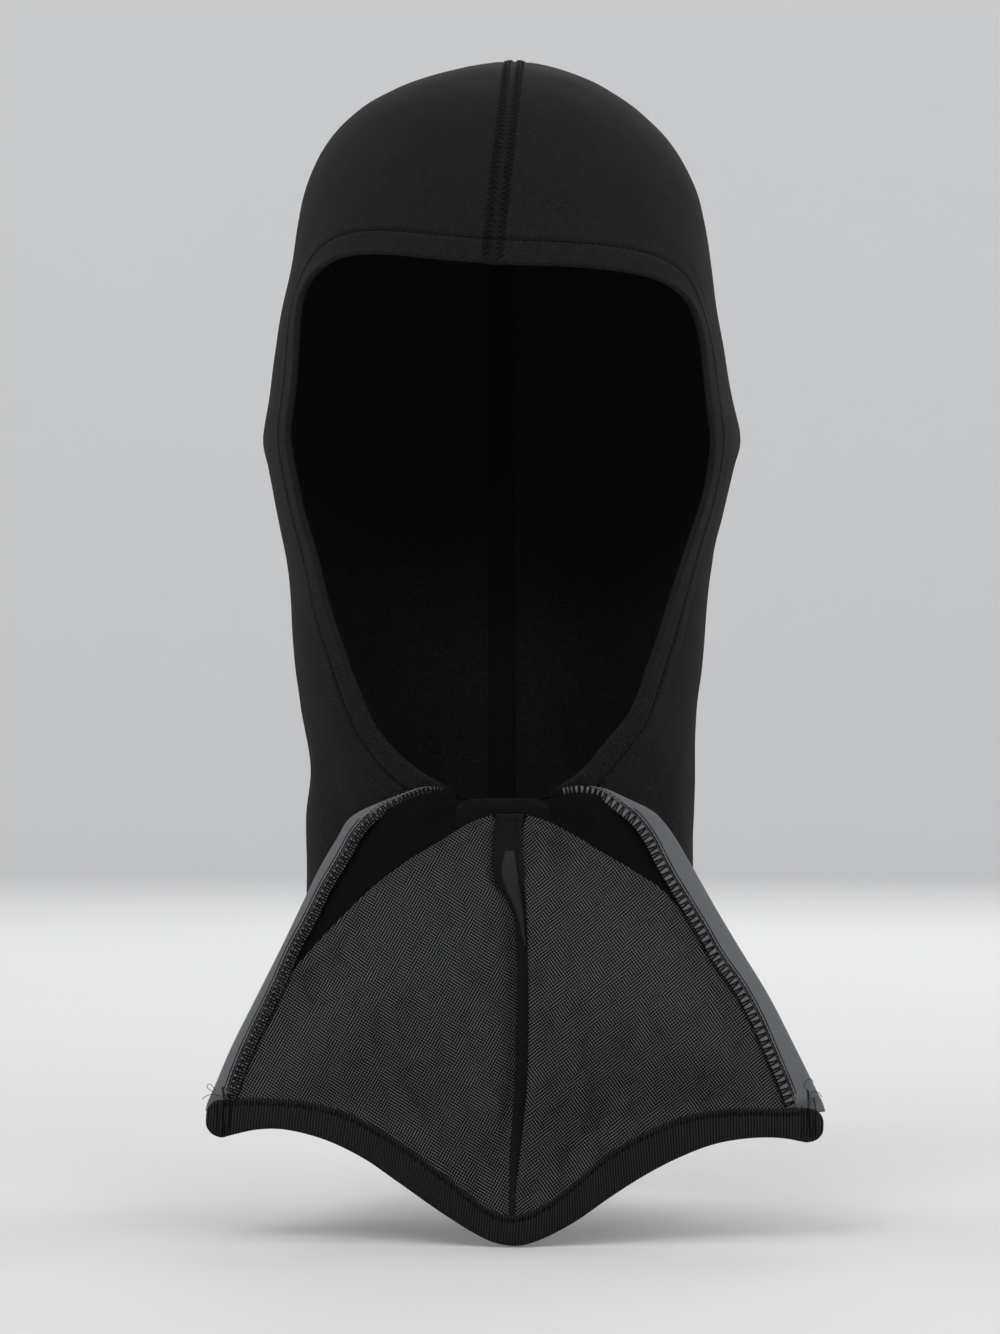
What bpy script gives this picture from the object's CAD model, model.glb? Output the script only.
import math
import bpy
import numpy as np
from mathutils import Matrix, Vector
from mathutils.bvhtree import BVHTree


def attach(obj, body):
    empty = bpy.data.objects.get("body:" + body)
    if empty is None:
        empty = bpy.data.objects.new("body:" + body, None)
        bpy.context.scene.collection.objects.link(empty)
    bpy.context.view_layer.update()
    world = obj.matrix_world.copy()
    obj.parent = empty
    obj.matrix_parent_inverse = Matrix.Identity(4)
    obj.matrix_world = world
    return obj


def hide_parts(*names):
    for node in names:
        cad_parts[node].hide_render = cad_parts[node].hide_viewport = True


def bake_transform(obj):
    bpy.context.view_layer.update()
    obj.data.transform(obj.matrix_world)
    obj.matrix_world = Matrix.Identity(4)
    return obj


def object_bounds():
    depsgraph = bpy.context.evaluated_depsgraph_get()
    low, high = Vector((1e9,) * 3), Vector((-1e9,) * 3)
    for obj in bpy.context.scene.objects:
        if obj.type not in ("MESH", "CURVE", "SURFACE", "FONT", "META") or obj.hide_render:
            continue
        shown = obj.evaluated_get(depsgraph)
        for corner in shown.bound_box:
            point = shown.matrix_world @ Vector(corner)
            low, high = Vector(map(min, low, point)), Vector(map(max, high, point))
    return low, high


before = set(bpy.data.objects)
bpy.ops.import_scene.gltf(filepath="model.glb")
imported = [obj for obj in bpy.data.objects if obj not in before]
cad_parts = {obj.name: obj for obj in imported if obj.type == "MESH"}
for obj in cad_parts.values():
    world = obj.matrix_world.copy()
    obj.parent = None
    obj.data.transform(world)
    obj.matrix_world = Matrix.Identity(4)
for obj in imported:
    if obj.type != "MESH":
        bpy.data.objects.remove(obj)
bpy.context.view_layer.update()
MM = 0.001
RNG = np.random.default_rng(7)

# ------------------------------------------------------------------ shape tables, millimetres
PROFILE = [
    (-224, 0, 74, -66, 66), (-190, 0, 73, -64.5, 65), (-160, -0.6, 72, -63.5, 63.5),
    (-137, -1, 71.8, -62.5, 62.5), (-122, 0.2, 71.0, -63, 62.5), (-100, -1.0, 72.9, -68, 64),
    (-85, -1.1, 74.7, -73, 67), (-70, -1.3, 76, -79, 71), (-55.5, -1.1, 76.8, -85, 76),
    (-40.7, -0.9, 79, -90, 82), (-26, -0.6, 82.5, -94, 88), (-11, -0.4, 85.8, -96.5, 93),
    (0, -0.2, 87.3, -97.5, 96), (18.5, -0.4, 84.9, -98.5, 99.5), (33.3, -0.9, 82.7, -98.5, 101),
    (48, -1.2, 80.1, -97.5, 101.5), (63, -0.4, 77.5, -95.5, 100.5), (78, -0.4, 75.5, -92, 98),
    (92.5, -0.4, 72.2, -86.5, 93), (107, -0.9, 64.9, -77, 84.5), (118.4, -1.0, 55.1, -65, 73),
    (125.8, -0.5, 45.1, -53, 61), (133.2, 1.0, 30, -35, 43),
]
CROWN = (3.5, 5.0, 140.0)
POWER = 2.2
OPENING = [
    (-0.7, 57.8), (15.1, 57.5), (30.3, 57.0), (41.8, 56.2), (50.9, 55.1), (59.3, 53.0),
    (65.4, 49.6), (69.6, 45.1), (71.4, 40.2), (72.5, 35.1), (73.6, 26.7), (74.6, 15.8),
    (75.6, 6.8), (76.6, -2.2), (76.1, -9.3), (74.3, -20.1), (72.1, -28.1), (69.2, -36.0),
    (67.0, -42.9), (64.5, -49.8), (61.9, -57.7), (59.4, -64.9), (56.5, -74.3), (53.2, -82.9),
    (49.6, -93.0), (45.7, -101.3), (37.0, -111.7), (28.3, -121.7), (19.7, -127.0),
    (13.6, -131.5), (-13.3, -131.5), (-19.9, -126.7), (-28.8, -122.1), (-37.4, -115.3),
    (-46.1, -104.9), (-51.1, -93.7), (-55.1, -84.4), (-57.6, -77.2), (-60.8, -68.9),
    (-63.7, -59.9), (-65.9, -50.9), (-68.3, -41.9), (-70.7, -34.6), (-72.8, -27.4),
    (-75.0, -16.6), (-77.2, -5.7), (-77.9, 0.8), (-76.8, 8.7), (-75.4, 19.5), (-74.7, 30.4),
    (-74.4, 39.5), (-74.1, 45.1), (-73.0, 50.5), (-70.4, 55.3), (-64.3, 60.3), (-56.8, 62.6),
    (-48.4, 62.7), (-37.9, 61.9), (-27.2, 60.4), (-15.5, 59.1),
]
SEAM_FRONT = [(-240, 1.0), (-110, 1.0), (20, -3.8), (58, -3.8), (140, 4.8), (150, 4.8)]
SEAM_BACK = [(-240, 0.0), (60, 0.0), (100, 0.5), (140, 4.8), (150, 4.8)]
MASK_TOP = [
    (-55.8, -139.4), (-51.6, -136.0), (-42.4, -131.9), (-35.0, -128.8), (-29.4, -127.0),
    (-24.0, -126.6), (-18.6, -128.4), (-13.3, -131.4), (0.0, -131.5), (13.6, -131.4),
    (19.7, -128.0), (28.3, -126.5), (35.9, -127.2), (45.1, -131.1), (54.3, -135.8), (57.9, -139.4),
]
MASK_LEFT = [
    (-55.8, -139.4), (-59.0, -145.0), (-65.4, -155.9), (-71.6, -168.7), (-78.8, -183.9),
    (-87.7, -201.8), (-96.5, -219.6), (-101.8, -232.2), (-104.8, -239.2),
]
MASK_RIGHT = [
    (57.9, -139.4), (61.9, -144.8), (69.0, -156.9), (77.2, -171.4), (85.3, -185.0),
    (95.1, -201.1), (103.7, -218.0), (111.6, -234.1), (114.1, -239.3),
]
BAND_BOTTOM = [
    (-97.0, -249.9), (-94.0, -249.2), (-87.1, -247.7), (-79.5, -247.3), (-71.1, -248.5),
    (-60.9, -251.5), (-48.7, -257.3), (-37.0, -265.1), (-21.9, -275.4), (-10.2, -282.6),
    (-2.8, -286.0), (5.6, -287.1), (13.0, -285.2), (25.3, -279.1), (38.0, -270.6),
    (50.4, -263.0), (63.0, -256.8), (75.6, -252.4), (88.3, -250.6), (99.2, -250.8), (106.0, -251.8),
]
BAND_TOP = [
    (-98.2, -237.2), (-94.0, -236.7), (-87.3, -236.5), (-77.3, -236.7), (-66.4, -238.0),
    (-55.6, -240.8), (-44.9, -246.0), (-33.3, -253.0), (-21.9, -261.3), (-10.2, -270.2),
    (-4.0, -274.2), (3.0, -276.4), (9.0, -275.4), (13.0, -273.7), (21.3, -268.3), (29.6, -261.5),
    (38.1, -254.8), (50.5, -247.9), (63.1, -242.9), (75.7, -240.6), (88.4, -240.0),
    (97.5, -240.4), (107.8, -240.4),
]
CUP_LEFT = [(-54.4, -170.5), (-64.3, -180.5), (-74.3, -192.2), (-82.0, -204.5), (-89.7, -220.2), (-94.2, -236.4)]
CUP_TOP = [
    (-54.4, -170.5), (-44.3, -161.4), (-34.3, -153.9), (-23.2, -147.2), (-13.2, -141.0),
    (-3.2, -137.1), (3.5, -136.0), (8.9, -137.0), (16.8, -140.3), (26.1, -145.4),
    (36.1, -151.0), (46.1, -156.9), (56.0, -163.4),
]
CUP_RIGHT = [
    (56.0, -163.4), (62.0, -169.5), (70.5, -180.0), (76.8, -190.5), (83.9, -200.5),
    (90.2, -212.0), (95.3, -225.0), (99.6, -239.5),
]
SEAM_LEFT = [
    (-15.5, -130.6), (-24.0, -128.4), (-37.7, -132.8), (-45.3, -137.5), (-51.5, -144.0), (-57.1, -154.0),
    (-62.4, -162.9), (-67.8, -173.9), (-74.0, -185.5), (-79.5, -198.2), (-86.0, -211.5),
    (-91.5, -223.7), (-96.6, -238.0),
]
SEAM_RIGHT = [
    (16.0, -130.2), (28.5, -128.0), (35.8, -130.3), (41.2, -134.2), (46.9, -138.6), (52.4, -145.8),
    (57.7, -156.3), (63.3, -165.7), (70.5, -177.4), (76.8, -188.4), (83.9, -198.3),
    (90.2, -209.8), (95.8, -223.1), (100.3, -233.9), (102.4, -240.2),
]


# ------------------------------------------------------------------ numeric helpers
def smooth_curve(points, count):
    p = np.array(points, float)
    d = np.r_[0, np.cumsum(np.sqrt(np.linalg.norm(np.diff(p, axis=0), axis=1)))]
    m = np.zeros_like(p)
    for i in range(1, len(p) - 1):
        h0, h1 = d[i] - d[i - 1], d[i + 1] - d[i]
        m[i] = ((p[i] - p[i - 1]) / h0 * h1 + (p[i + 1] - p[i]) / h1 * h0) / (h0 + h1)
    m[0] = (p[1] - p[0]) / (d[1] - d[0])
    m[-1] = (p[-1] - p[-2]) / (d[-1] - d[-2])
    t = np.linspace(0, d[-1], count)
    i = np.clip(np.searchsorted(d, t, side="right") - 1, 0, len(p) - 2)
    h = (d[i + 1] - d[i])[:, None]
    s = (t - d[i])[:, None] / h
    return ((2 * s**3 - 3 * s**2 + 1) * p[i] + (s**3 - 2 * s**2 + s) * h * m[i]
            + (-2 * s**3 + 3 * s**2) * p[i + 1] + (s**3 - s**2) * h * m[i + 1])


def arcs(p):
    return np.r_[0, np.cumsum(np.linalg.norm(np.diff(p, axis=0), axis=1))]


def at_arc(p, where):
    """Points of the polyline p at the given arc lengths."""
    d = arcs(p)
    return np.array([np.interp(where, d, p[:, k]) for k in range(p.shape[1])]).T


def even_curve(points, count, fine=600):
    c = smooth_curve(points, fine)
    d = arcs(c)
    return at_arc(c, np.linspace(0, d[-1], count))


def blur_closed(p, times):
    for _ in range(times):
        p = (np.roll(p, 1, 0) + 2 * p + np.roll(p, -1, 0)) / 4
    return p


def unit(v):
    return v / np.maximum(np.linalg.norm(v, axis=-1, keepdims=True), 1e-12)


def sstep(a, b, x):
    t = np.clip((x - a) / (b - a), 0, 1)
    return t * t * (3 - 2 * t)


def bump(x, centre, width):
    return np.exp(-(((x - centre) / width) ** 2))


def lattice_noise(p, scale, seed):
    """Smooth value noise over 3-D points, about -1 to 1."""
    q = np.asarray(p, float) / scale + 137.31
    i = np.floor(q).astype(np.int64)
    f = q - i
    f = f * f * (3 - 2 * f)
    out = np.zeros(q.shape[:-1])
    for dx in (0, 1):
        for dy in (0, 1):
            for dz in (0, 1):
                h = ((i[..., 0] + dx) * 374761393 + (i[..., 1] + dy) * 668265263
                     + (i[..., 2] + dz) * 2147483647 + seed * 974634777) & 0xFFFFFFFF
                h = ((h ^ (h >> 13)) * 1274126177) & 0xFFFFFFFF
                v = ((h ^ (h >> 16)) & 0xFFFF) / 65535.0 * 2 - 1
                w = ((f[..., 0] if dx else 1 - f[..., 0]) * (f[..., 1] if dy else 1 - f[..., 1])
                     * (f[..., 2] if dz else 1 - f[..., 2]))
                out += v * w
    return out


def grid_normals(p):
    """Unit normals of a grid of points, by central differences."""
    du = np.gradient(p, axis=0)
    dv = np.gradient(p, axis=1)
    return unit(np.cross(du, dv))


# ------------------------------------------------------------------ mesh helpers
def new_object(name, verts, faces, material, uv=None, smooth=True):
    me = bpy.data.meshes.new(name)
    me.from_pydata((np.asarray(verts, float) * MM).tolist(), [], faces)
    me.validate(clean_customdata=False)
    if uv is not None:
        layer = me.uv_layers.new(name="UVMap")
        loops = np.zeros(len(me.loops), np.int32)
        me.loops.foreach_get("vertex_index", loops)
        layer.data.foreach_set("uv", (np.asarray(uv, float)[loops] * MM * 10).astype(np.float32).ravel())
    if smooth:
        me.polygons.foreach_set("use_smooth", [True] * len(me.polygons))
    me.materials.append(material)
    ob = bpy.data.objects.new(name, me)
    bpy.context.scene.collection.objects.link(ob)
    return ob


def quads(m, n, wrap_m=False, wrap_n=False, base=0, flip=False):
    out = []
    for i in range(m if wrap_m else m - 1):
        for j in range(n if wrap_n else n - 1):
            a = base + i * n + j
            b = base + i * n + (j + 1) % n
            c = base + ((i + 1) % m) * n + (j + 1) % n
            d = base + ((i + 1) % m) * n + j
            out.append((a, d, c, b) if flip else (a, b, c, d))
    return out


def loop_sheet(name, rows, material, uv=None, caps=True, flip=False):
    """rows: [m, n, 3], each row a closed section (n wraps); the ends are capped."""
    m, n = rows.shape[:2]
    faces = quads(m, n, wrap_n=True, flip=flip)
    if caps:
        first = tuple(range(n))
        last = tuple((m - 1) * n + j for j in range(n))
        faces.append(first if flip else first[::-1])
        faces.append(last[::-1] if flip else last)
    return new_object(name, rows.reshape(-1, 3), faces, material,
                      None if uv is None else uv.reshape(-1, 2))


def slab(name, front, back, material, uv=None):
    """A closed sheet between two grids of the same size."""
    m, n = front.shape[:2]
    v = np.vstack([front.reshape(-1, 3), back.reshape(-1, 3)])
    faces = quads(m, n) + quads(m, n, base=m * n, flip=True)
    k = m * n

    def side(a, b):
        faces.append((a, b, b + k, a + k))
    for j in range(n - 1):
        side(j + 1, j)
        side((m - 1) * n + j, (m - 1) * n + j + 1)
    for i in range(m - 1):
        side(i * n, (i + 1) * n)
        side((i + 1) * n + n - 1, i * n + n - 1)
    full_uv = None if uv is None else np.vstack([uv.reshape(-1, 2)] * 2)
    return new_object(name, v, faces, material, full_uv)


def fix_normals(ob):
    """Outward facing, from the sign of the closed mesh's volume."""
    me = ob.data
    co = np.zeros(len(me.vertices) * 3)
    me.vertices.foreach_get("co", co)
    co = co.reshape(-1, 3)
    me.calc_loop_triangles()
    tri = np.zeros(len(me.loop_triangles) * 3, np.int32)
    me.loop_triangles.foreach_get("vertices", tri)
    t = co[tri.reshape(-1, 3)]
    if np.einsum("ij,ij->i", t[:, 0], np.cross(t[:, 1], t[:, 2])).sum() < 0:
        me.flip_normals()
    return ob


def stitches(name, segs, radius, material, sides=7, rings=5, flat=0.8):
    """Thread stitches: each segment is (p0, p1, up) and becomes a small rounded bar that bows up."""
    verts, faces = [], []
    ang = np.linspace(0, 2 * math.pi, sides, endpoint=False)
    for p0, p1, up in segs:
        p0, p1, up = (np.asarray(q, float) for q in (p0, p1, up))
        axis = p1 - p0
        length = np.linalg.norm(axis)
        if length < 1e-6:
            continue
        axis = axis / length
        up = unit(up - axis * np.dot(up, axis))
        side = np.cross(axis, up)
        base = len(verts)
        for r in range(rings):
            s = r / (rings - 1)
            rad = radius * (0.45 + 0.55 * math.sin(math.pi * (0.08 + 0.84 * s)) ** 0.6)
            lift = radius * 0.9 * math.sin(math.pi * s) - radius * 0.35
            c = p0 + axis * length * s + up * lift
            for a in ang:
                verts.append(c + side * math.cos(a) * rad + up * math.sin(a) * rad * flat)
        for r in range(rings - 1):
            for k in range(sides):
                a, b = base + r * sides + k, base + r * sides + (k + 1) % sides
                faces.append((a, b, b + sides, a + sides))
        faces.append(tuple(base + k for k in range(sides))[::-1])
        faces.append(tuple(base + (rings - 1) * sides + k for k in range(sides)))
    return new_object(name, verts, faces, material)


# ------------------------------------------------------------------ materials
def mat_nodes(name):
    m = bpy.data.materials.new(name)
    m.use_nodes = True
    nt = m.node_tree
    bsdf = nt.nodes["Principled BSDF"]
    return m, nt, bsdf


def node(nt, kind, **sockets):
    n = nt.nodes.new(kind)
    for k, v in sockets.items():
        if k.startswith("_"):
            setattr(n, k[1:], v)
        else:
            n.inputs[k.replace("__", " ")].default_value = v
    return n


def math_node(nt, op, a, b=None, c=None, clamp=False):
    n = nt.nodes.new("ShaderNodeMath")
    n.operation = op
    n.use_clamp = clamp
    for i, v in enumerate((a, b, c)):
        if v is None:
            continue
        if isinstance(v, (int, float)):
            n.inputs[i].default_value = v
        else:
            nt.links.new(v, n.inputs[i])
    return n.outputs[0]


def ramp(nt, fac, stops):
    n = nt.nodes.new("ShaderNodeValToRGB")
    while len(n.color_ramp.elements) < len(stops):
        n.color_ramp.elements.new(0.5)
    for e, (pos, col) in zip(n.color_ramp.elements, stops):
        e.position = pos
        e.color = (*col, 1)
    nt.links.new(fac, n.inputs[0])
    return n.outputs[0]


def uv_mm(nt):
    """u and v in millimetres."""
    uv = nt.nodes.new("ShaderNodeUVMap")
    uv.uv_map = "UVMap"
    sep = nt.nodes.new("ShaderNodeSeparateXYZ")
    nt.links.new(uv.outputs[0], sep.inputs[0])
    return math_node(nt, "MULTIPLY", sep.outputs[0], 100.0), math_node(nt, "MULTIPLY", sep.outputs[1], 100.0)


def object_coords(nt):
    tc = nt.nodes.new("ShaderNodeTexCoord")
    return tc.outputs["Object"]


def noise(nt, vector, scale, detail=3, rough=0.55):
    n = node(nt, "ShaderNodeTexNoise", Scale=scale, Detail=detail, Roughness=rough)
    nt.links.new(vector, n.inputs["Vector"])
    return n.outputs["Fac"]


def wave_product(nt, u, v, pu, pv, offset=True):
    """Loops of a knit: rows of rounded cells, pu wide and pv high, every other row shifted."""
    a = math_node(nt, "MULTIPLY", u, 2 * math.pi / pu)
    b = math_node(nt, "MULTIPLY", v, 2 * math.pi / pv)
    if offset:
        p = math_node(nt, "SINE", math_node(nt, "ADD", a, b))
        q = math_node(nt, "SINE", math_node(nt, "SUBTRACT", a, b))
        s = math_node(nt, "ADD", p, q)
        return math_node(nt, "MULTIPLY_ADD", s, 0.25, 0.5)
    p = math_node(nt, "MULTIPLY", math_node(nt, "SINE", a), math_node(nt, "SINE", b))
    return math_node(nt, "MULTIPLY_ADD", p, 0.5, 0.5)


def bump_node(nt, height, strength, distance, normal=None):
    b = node(nt, "ShaderNodeBump", Strength=strength, Distance=distance)
    nt.links.new(height, b.inputs["Height"])
    if normal is not None:
        nt.links.new(normal, b.inputs["Normal"])
    return b.outputs["Normal"]


def fabric(name, dark, light, pitch, bump_mm=0.12, rough=0.85, sheen=0.25, sheen_rough=0.5,
           sheen_tint=(1, 1, 1), kind="jersey", mottling=0.35, contrast=1.0, shift=0.0, wander=0.25, grain=0.5):
    m, nt, bsdf = mat_nodes(name)
    u, v = uv_mm(nt)
    co = object_coords(nt)
    big = noise(nt, co, 28.0, 3)
    fine = noise(nt, co, 1500.0, 2)
    # the yarn lies a little unevenly, so the pattern drifts
    drift = math_node(nt, "MULTIPLY_ADD", noise(nt, co, 160.0, 2), 2 * wander * pitch, -wander * pitch)
    u2 = math_node(nt, "ADD", u, drift)
    if wander > 0.3:
        shifted = nt.nodes.new("ShaderNodeVectorMath")
        shifted.operation = "ADD"
        shifted.inputs[1].default_value = (0.31, 0.17, 0.43)
        nt.links.new(co, shifted.inputs[0])
        v = math_node(nt, "ADD", v, math_node(nt, "MULTIPLY_ADD", noise(nt, shifted.outputs[0], 210.0, 2),
                                              3 * wander * pitch, -1.5 * wander * pitch))
    if kind == "jersey":
        cell = wave_product(nt, u2, v, pitch, pitch * 0.8)
    elif kind == "mesh":
        # an open knit in front of a second layer of the same knit, lying a little askew
        top = wave_product(nt, u2, v, pitch, pitch * 1.05)
        u3 = math_node(nt, "ADD", math_node(nt, "MULTIPLY", u2, 0.915), math_node(nt, "MULTIPLY", v, 0.045))
        v3 = math_node(nt, "SUBTRACT", math_node(nt, "MULTIPLY", v, 0.985), math_node(nt, "MULTIPLY", u2, 0.05))
        bend = math_node(nt, "MULTIPLY_ADD", noise(nt, co, 45.0, 2), 3.2 * pitch, -1.6 * pitch)
        under = wave_product(nt, math_node(nt, "ADD", u3, bend), v3, pitch, pitch * 1.05)
        cell = math_node(nt, "ADD", math_node(nt, "MULTIPLY", top, 0.62),
                         math_node(nt, "MULTIPLY", math_node(nt, "MULTIPLY", top, under), 0.75))
    elif kind == "rib":
        a = math_node(nt, "SINE", math_node(nt, "MULTIPLY", u2, 2 * math.pi / pitch))
        b = math_node(nt, "SINE", math_node(nt, "MULTIPLY", v, 2 * math.pi / (pitch * 0.7)))
        cell = math_node(nt, "MULTIPLY_ADD", math_node(nt, "ADD", a, math_node(nt, "MULTIPLY", b, 0.25)), 0.4, 0.5)
    else:  # twill tape
        a = math_node(nt, "SINE", math_node(nt, "MULTIPLY", math_node(nt, "ADD", u2, v), 2 * math.pi / pitch))
        b = math_node(nt, "SINE", math_node(nt, "MULTIPLY", v, 2 * math.pi / (pitch * 0.5)))
        cell = math_node(nt, "MULTIPLY_ADD", math_node(nt, "ADD", a, math_node(nt, "MULTIPLY", b, 0.4)), 0.35, 0.5)
    tone = math_node(nt, "MULTIPLY_ADD", cell, contrast, 0.5 - 0.5 * contrast + shift)
    tone = math_node(nt, "ADD", tone, math_node(nt, "MULTIPLY_ADD", big, mottling, -0.5 * mottling))
    tone = math_node(nt, "ADD", tone, math_node(nt, "MULTIPLY_ADD", fine, grain, -0.5 * grain), clamp=True)
    col = ramp(nt, tone, [(0.0, dark), (1.0, light)])
    nt.links.new(col, bsdf.inputs["Base Color"])
    h = math_node(nt, "ADD", cell, math_node(nt, "MULTIPLY", fine, 0.5))
    nt.links.new(bump_node(nt, h, 0.9, bump_mm * MM), bsdf.inputs["Normal"])
    r = math_node(nt, "MULTIPLY_ADD", fine, 0.2, rough - 0.1, clamp=True)
    nt.links.new(r, bsdf.inputs["Roughness"])
    bsdf.inputs["Sheen Weight"].default_value = sheen
    bsdf.inputs["Sheen Roughness"].default_value = sheen_rough
    bsdf.inputs["Sheen Tint"].default_value = (*sheen_tint, 1)
    bsdf.inputs["Specular IOR Level"].default_value = 0.07
    return m


def thread(name, colour, rough=0.5):
    m, nt, bsdf = mat_nodes(name)
    co = object_coords(nt)
    n = node(nt, "ShaderNodeTexWave", Scale=900.0, Distortion=2.0)
    nt.links.new(co, n.inputs["Vector"])
    col = ramp(nt, n.outputs["Fac"], [(0, tuple(c * 0.6 for c in colour)), (1, tuple(min(1, c * 1.5) for c in colour))])
    nt.links.new(col, bsdf.inputs["Base Color"])
    nt.links.new(bump_node(nt, n.outputs["Fac"], 0.6, 0.05 * MM), bsdf.inputs["Normal"])
    bsdf.inputs["Roughness"].default_value = rough
    bsdf.inputs["Sheen Weight"].default_value = 0.0
    bsdf.inputs["Specular IOR Level"].default_value = 0.1
    return m


M_JERSEY = fabric("black_jersey", (0.0014, 0.0015, 0.0016), (0.0176, 0.0184, 0.0190), 1.15, bump_mm=0.10, sheen=0.010,
                  mottling=0.22, contrast=0.75, wander=1.1, grain=1.9)
M_RIB = fabric("black_rib", (0.0028, 0.0028, 0.0031), (0.0195, 0.0198, 0.0204), 1.05, bump_mm=0.26, kind="rib", sheen=0.02,
               contrast=2.0)
M_YOKE = fabric("yoke_fabric", (0.0006, 0.0006, 0.0007), (0.0027, 0.0028, 0.0030), 0.7, bump_mm=0.08, sheen=0.012)
M_MESH = fabric("mesh_lining", (0.0012, 0.0013, 0.0014), (0.088, 0.091, 0.093), 1.32, bump_mm=0.38, kind="mesh",
                sheen=0.008, mottling=0.36, contrast=3.5, shift=-0.28, wander=0.28)
M_JOIN = fabric("black_joining", (0.0012, 0.0012, 0.0013), (0.0062, 0.0063, 0.0066), 1.0, bump_mm=0.12, kind="rib", sheen=0.02)
M_FOLD = fabric("mesh_allowance", (0.0060, 0.0062, 0.0065), (0.034, 0.035, 0.036), 0.8, bump_mm=0.10, sheen=0.02)
M_GREY = fabric("grey_shell", (0.082, 0.085, 0.089), (0.145, 0.149, 0.156), 0.55, bump_mm=0.06, sheen=0.05, contrast=0.5,
                mottling=0.15)
M_TAPE = fabric("seam_tape", (0.0022, 0.0022, 0.0026), (0.011, 0.011, 0.0125), 1.2, bump_mm=0.12, kind="twill", sheen=0.03)
M_THREAD = thread("black_thread", (0.0016, 0.0016, 0.0018), rough=0.7)
M_LABEL = fabric("label_white", (0.55, 0.55, 0.53), (0.75, 0.75, 0.73), 0.4, bump_mm=0.03, rough=0.45, kind="twill",
                 sheen=0.1, mottling=0.1, contrast=0.4)

# ------------------------------------------------------------------ the hood's surface
SIDE = smooth_curve([(c - a, z) for z, c, a, _, _ in PROFILE] + [(CROWN[0], CROWN[2])]
                    + [(c + a, z) for z, c, a, _, _ in PROFILE[::-1]], 2400)
MID = smooth_curve([(f, z) for z, _, _, f, _ in PROFILE] + [(CROWN[1], CROWN[2])]
                   + [(b, z) for z, _, _, _, b in PROFILE[::-1]], 2400)


def section(z):
    """Left x, right x, front y and back y of the hood at heights z."""
    out = []
    for c in (SIDE, MID):
        i = int(np.argmax(c[:, 1]))
        lo, hi = c[:i + 1], c[i:][::-1]
        out += [np.interp(z, lo[:, 1], lo[:, 0]), np.interp(z, hi[:, 1], hi[:, 0])]
    return out


def front_y(x, z):
    l, r, f, b = section(z)
    q = np.clip(1 - np.abs((x - (l + r) / 2) / ((r - l) / 2)) ** POWER, 0, None) ** (1 / POWER)
    return (f + b) / 2 - (b - f) / 2 * q


def base_surface():
    top = CROWN[2] - 0.03
    z = np.concatenate([np.linspace(-228, 100, 190), 100 + (top - 100) * np.sin(np.linspace(0, math.pi / 2, 70)[1:])])
    l, r, f, b = section(np.clip(z, -224, top))
    a = np.linspace(0, 2 * math.pi, 288, endpoint=False)
    e = 2 / POWER
    ca, sa = np.cos(a), np.sin(a)
    x = ((l + r) / 2)[:, None] + ((r - l) / 2)[:, None] * (np.sign(sa) * np.abs(sa) ** e)[None]
    y = ((f + b) / 2)[:, None] - ((b - f) / 2)[:, None] * (np.sign(ca) * np.abs(ca) ** e)[None]
    p = np.stack([x, y, np.broadcast_to(z[:, None], x.shape)], -1)
    m, n = p.shape[:2]
    faces = quads(m, n, wrap_n=True) + [tuple((m - 1) * n + j for j in range(n))]
    return p.reshape(-1, 3), faces


BASE_V, BASE_F = base_surface()
BASE = BVHTree.FromPolygons([tuple(v) for v in BASE_V], BASE_F)


def onto(p):
    flat = np.asarray(p, float).reshape(-1, 3)
    out = np.empty_like(flat)
    nor = np.empty_like(flat)
    for i, q in enumerate(flat):
        loc, n, _, _ = BASE.find_nearest(q)
        out[i] = loc
        nor[i] = n
    centre = np.array([0, 0, 0.0])
    away = flat * [1, 1, 0] - centre
    nor *= np.sign(np.einsum("ij,ij->i", nor, np.where(flat[:, 2:3] > 90, flat - [0, 0, 60], away)))[:, None]
    return out.reshape(np.shape(p)), nor.reshape(np.shape(p))


EYE = np.array([0.0, -10.0, -40.0])


def cast(direction):
    out = np.empty_like(direction)
    for i, d in enumerate(direction):
        loc, _, _, _ = BASE.ray_cast(Vector(EYE), Vector(d), 600.0)
        out[i] = loc if loc is not None else EYE + d * 90
    return out


def to_plane(p):
    d = unit(p - EYE)
    return d[..., [0, 2]] / (1 + d[..., 1:2])


def from_plane(q):
    r = (q ** 2).sum(-1, keepdims=True)
    y = (1 - r) / (1 + r)
    return np.concatenate([q[..., :1] * (1 + y), y, q[..., 1:] * (1 + y)], -1)


def rim_curve(count):
    """Edge of the face opening: starts at the crown seam, runs over the wearer's left (+X) side."""
    o = np.array(OPENING)
    o = np.vstack([o, o[:1]])
    c = smooth_curve(o, 1600)[:-1]
    c = blur_closed(at_arc(np.vstack([c, c[:1]]), np.linspace(0, arcs(np.vstack([c, c[:1]]))[-1], 420)[:-1]), 5)
    start = int(np.argmin(np.abs(c[:, 0] + 3.8) + 100 * (c[:, 1] < 0)))
    low = int(np.argmin(np.abs(c[:, 0] - 1.0) + 100 * (c[:, 1] > 0)))
    c = np.roll(c, -start, 0)
    low = (low - start) % len(c)
    first, second = c[:low + 1], np.vstack([c[low:], c[:1]])
    half = count // 2
    a = at_arc(first, np.linspace(0, arcs(first)[-1], half + 1))
    b = at_arc(second, np.linspace(0, arcs(second)[-1], half + 1))
    xz = np.vstack([a[:-1], b[:-1]])
    return np.stack([xz[:, 0], front_y(xz[:, 0], xz[:, 1]), xz[:, 1]], -1)


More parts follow.
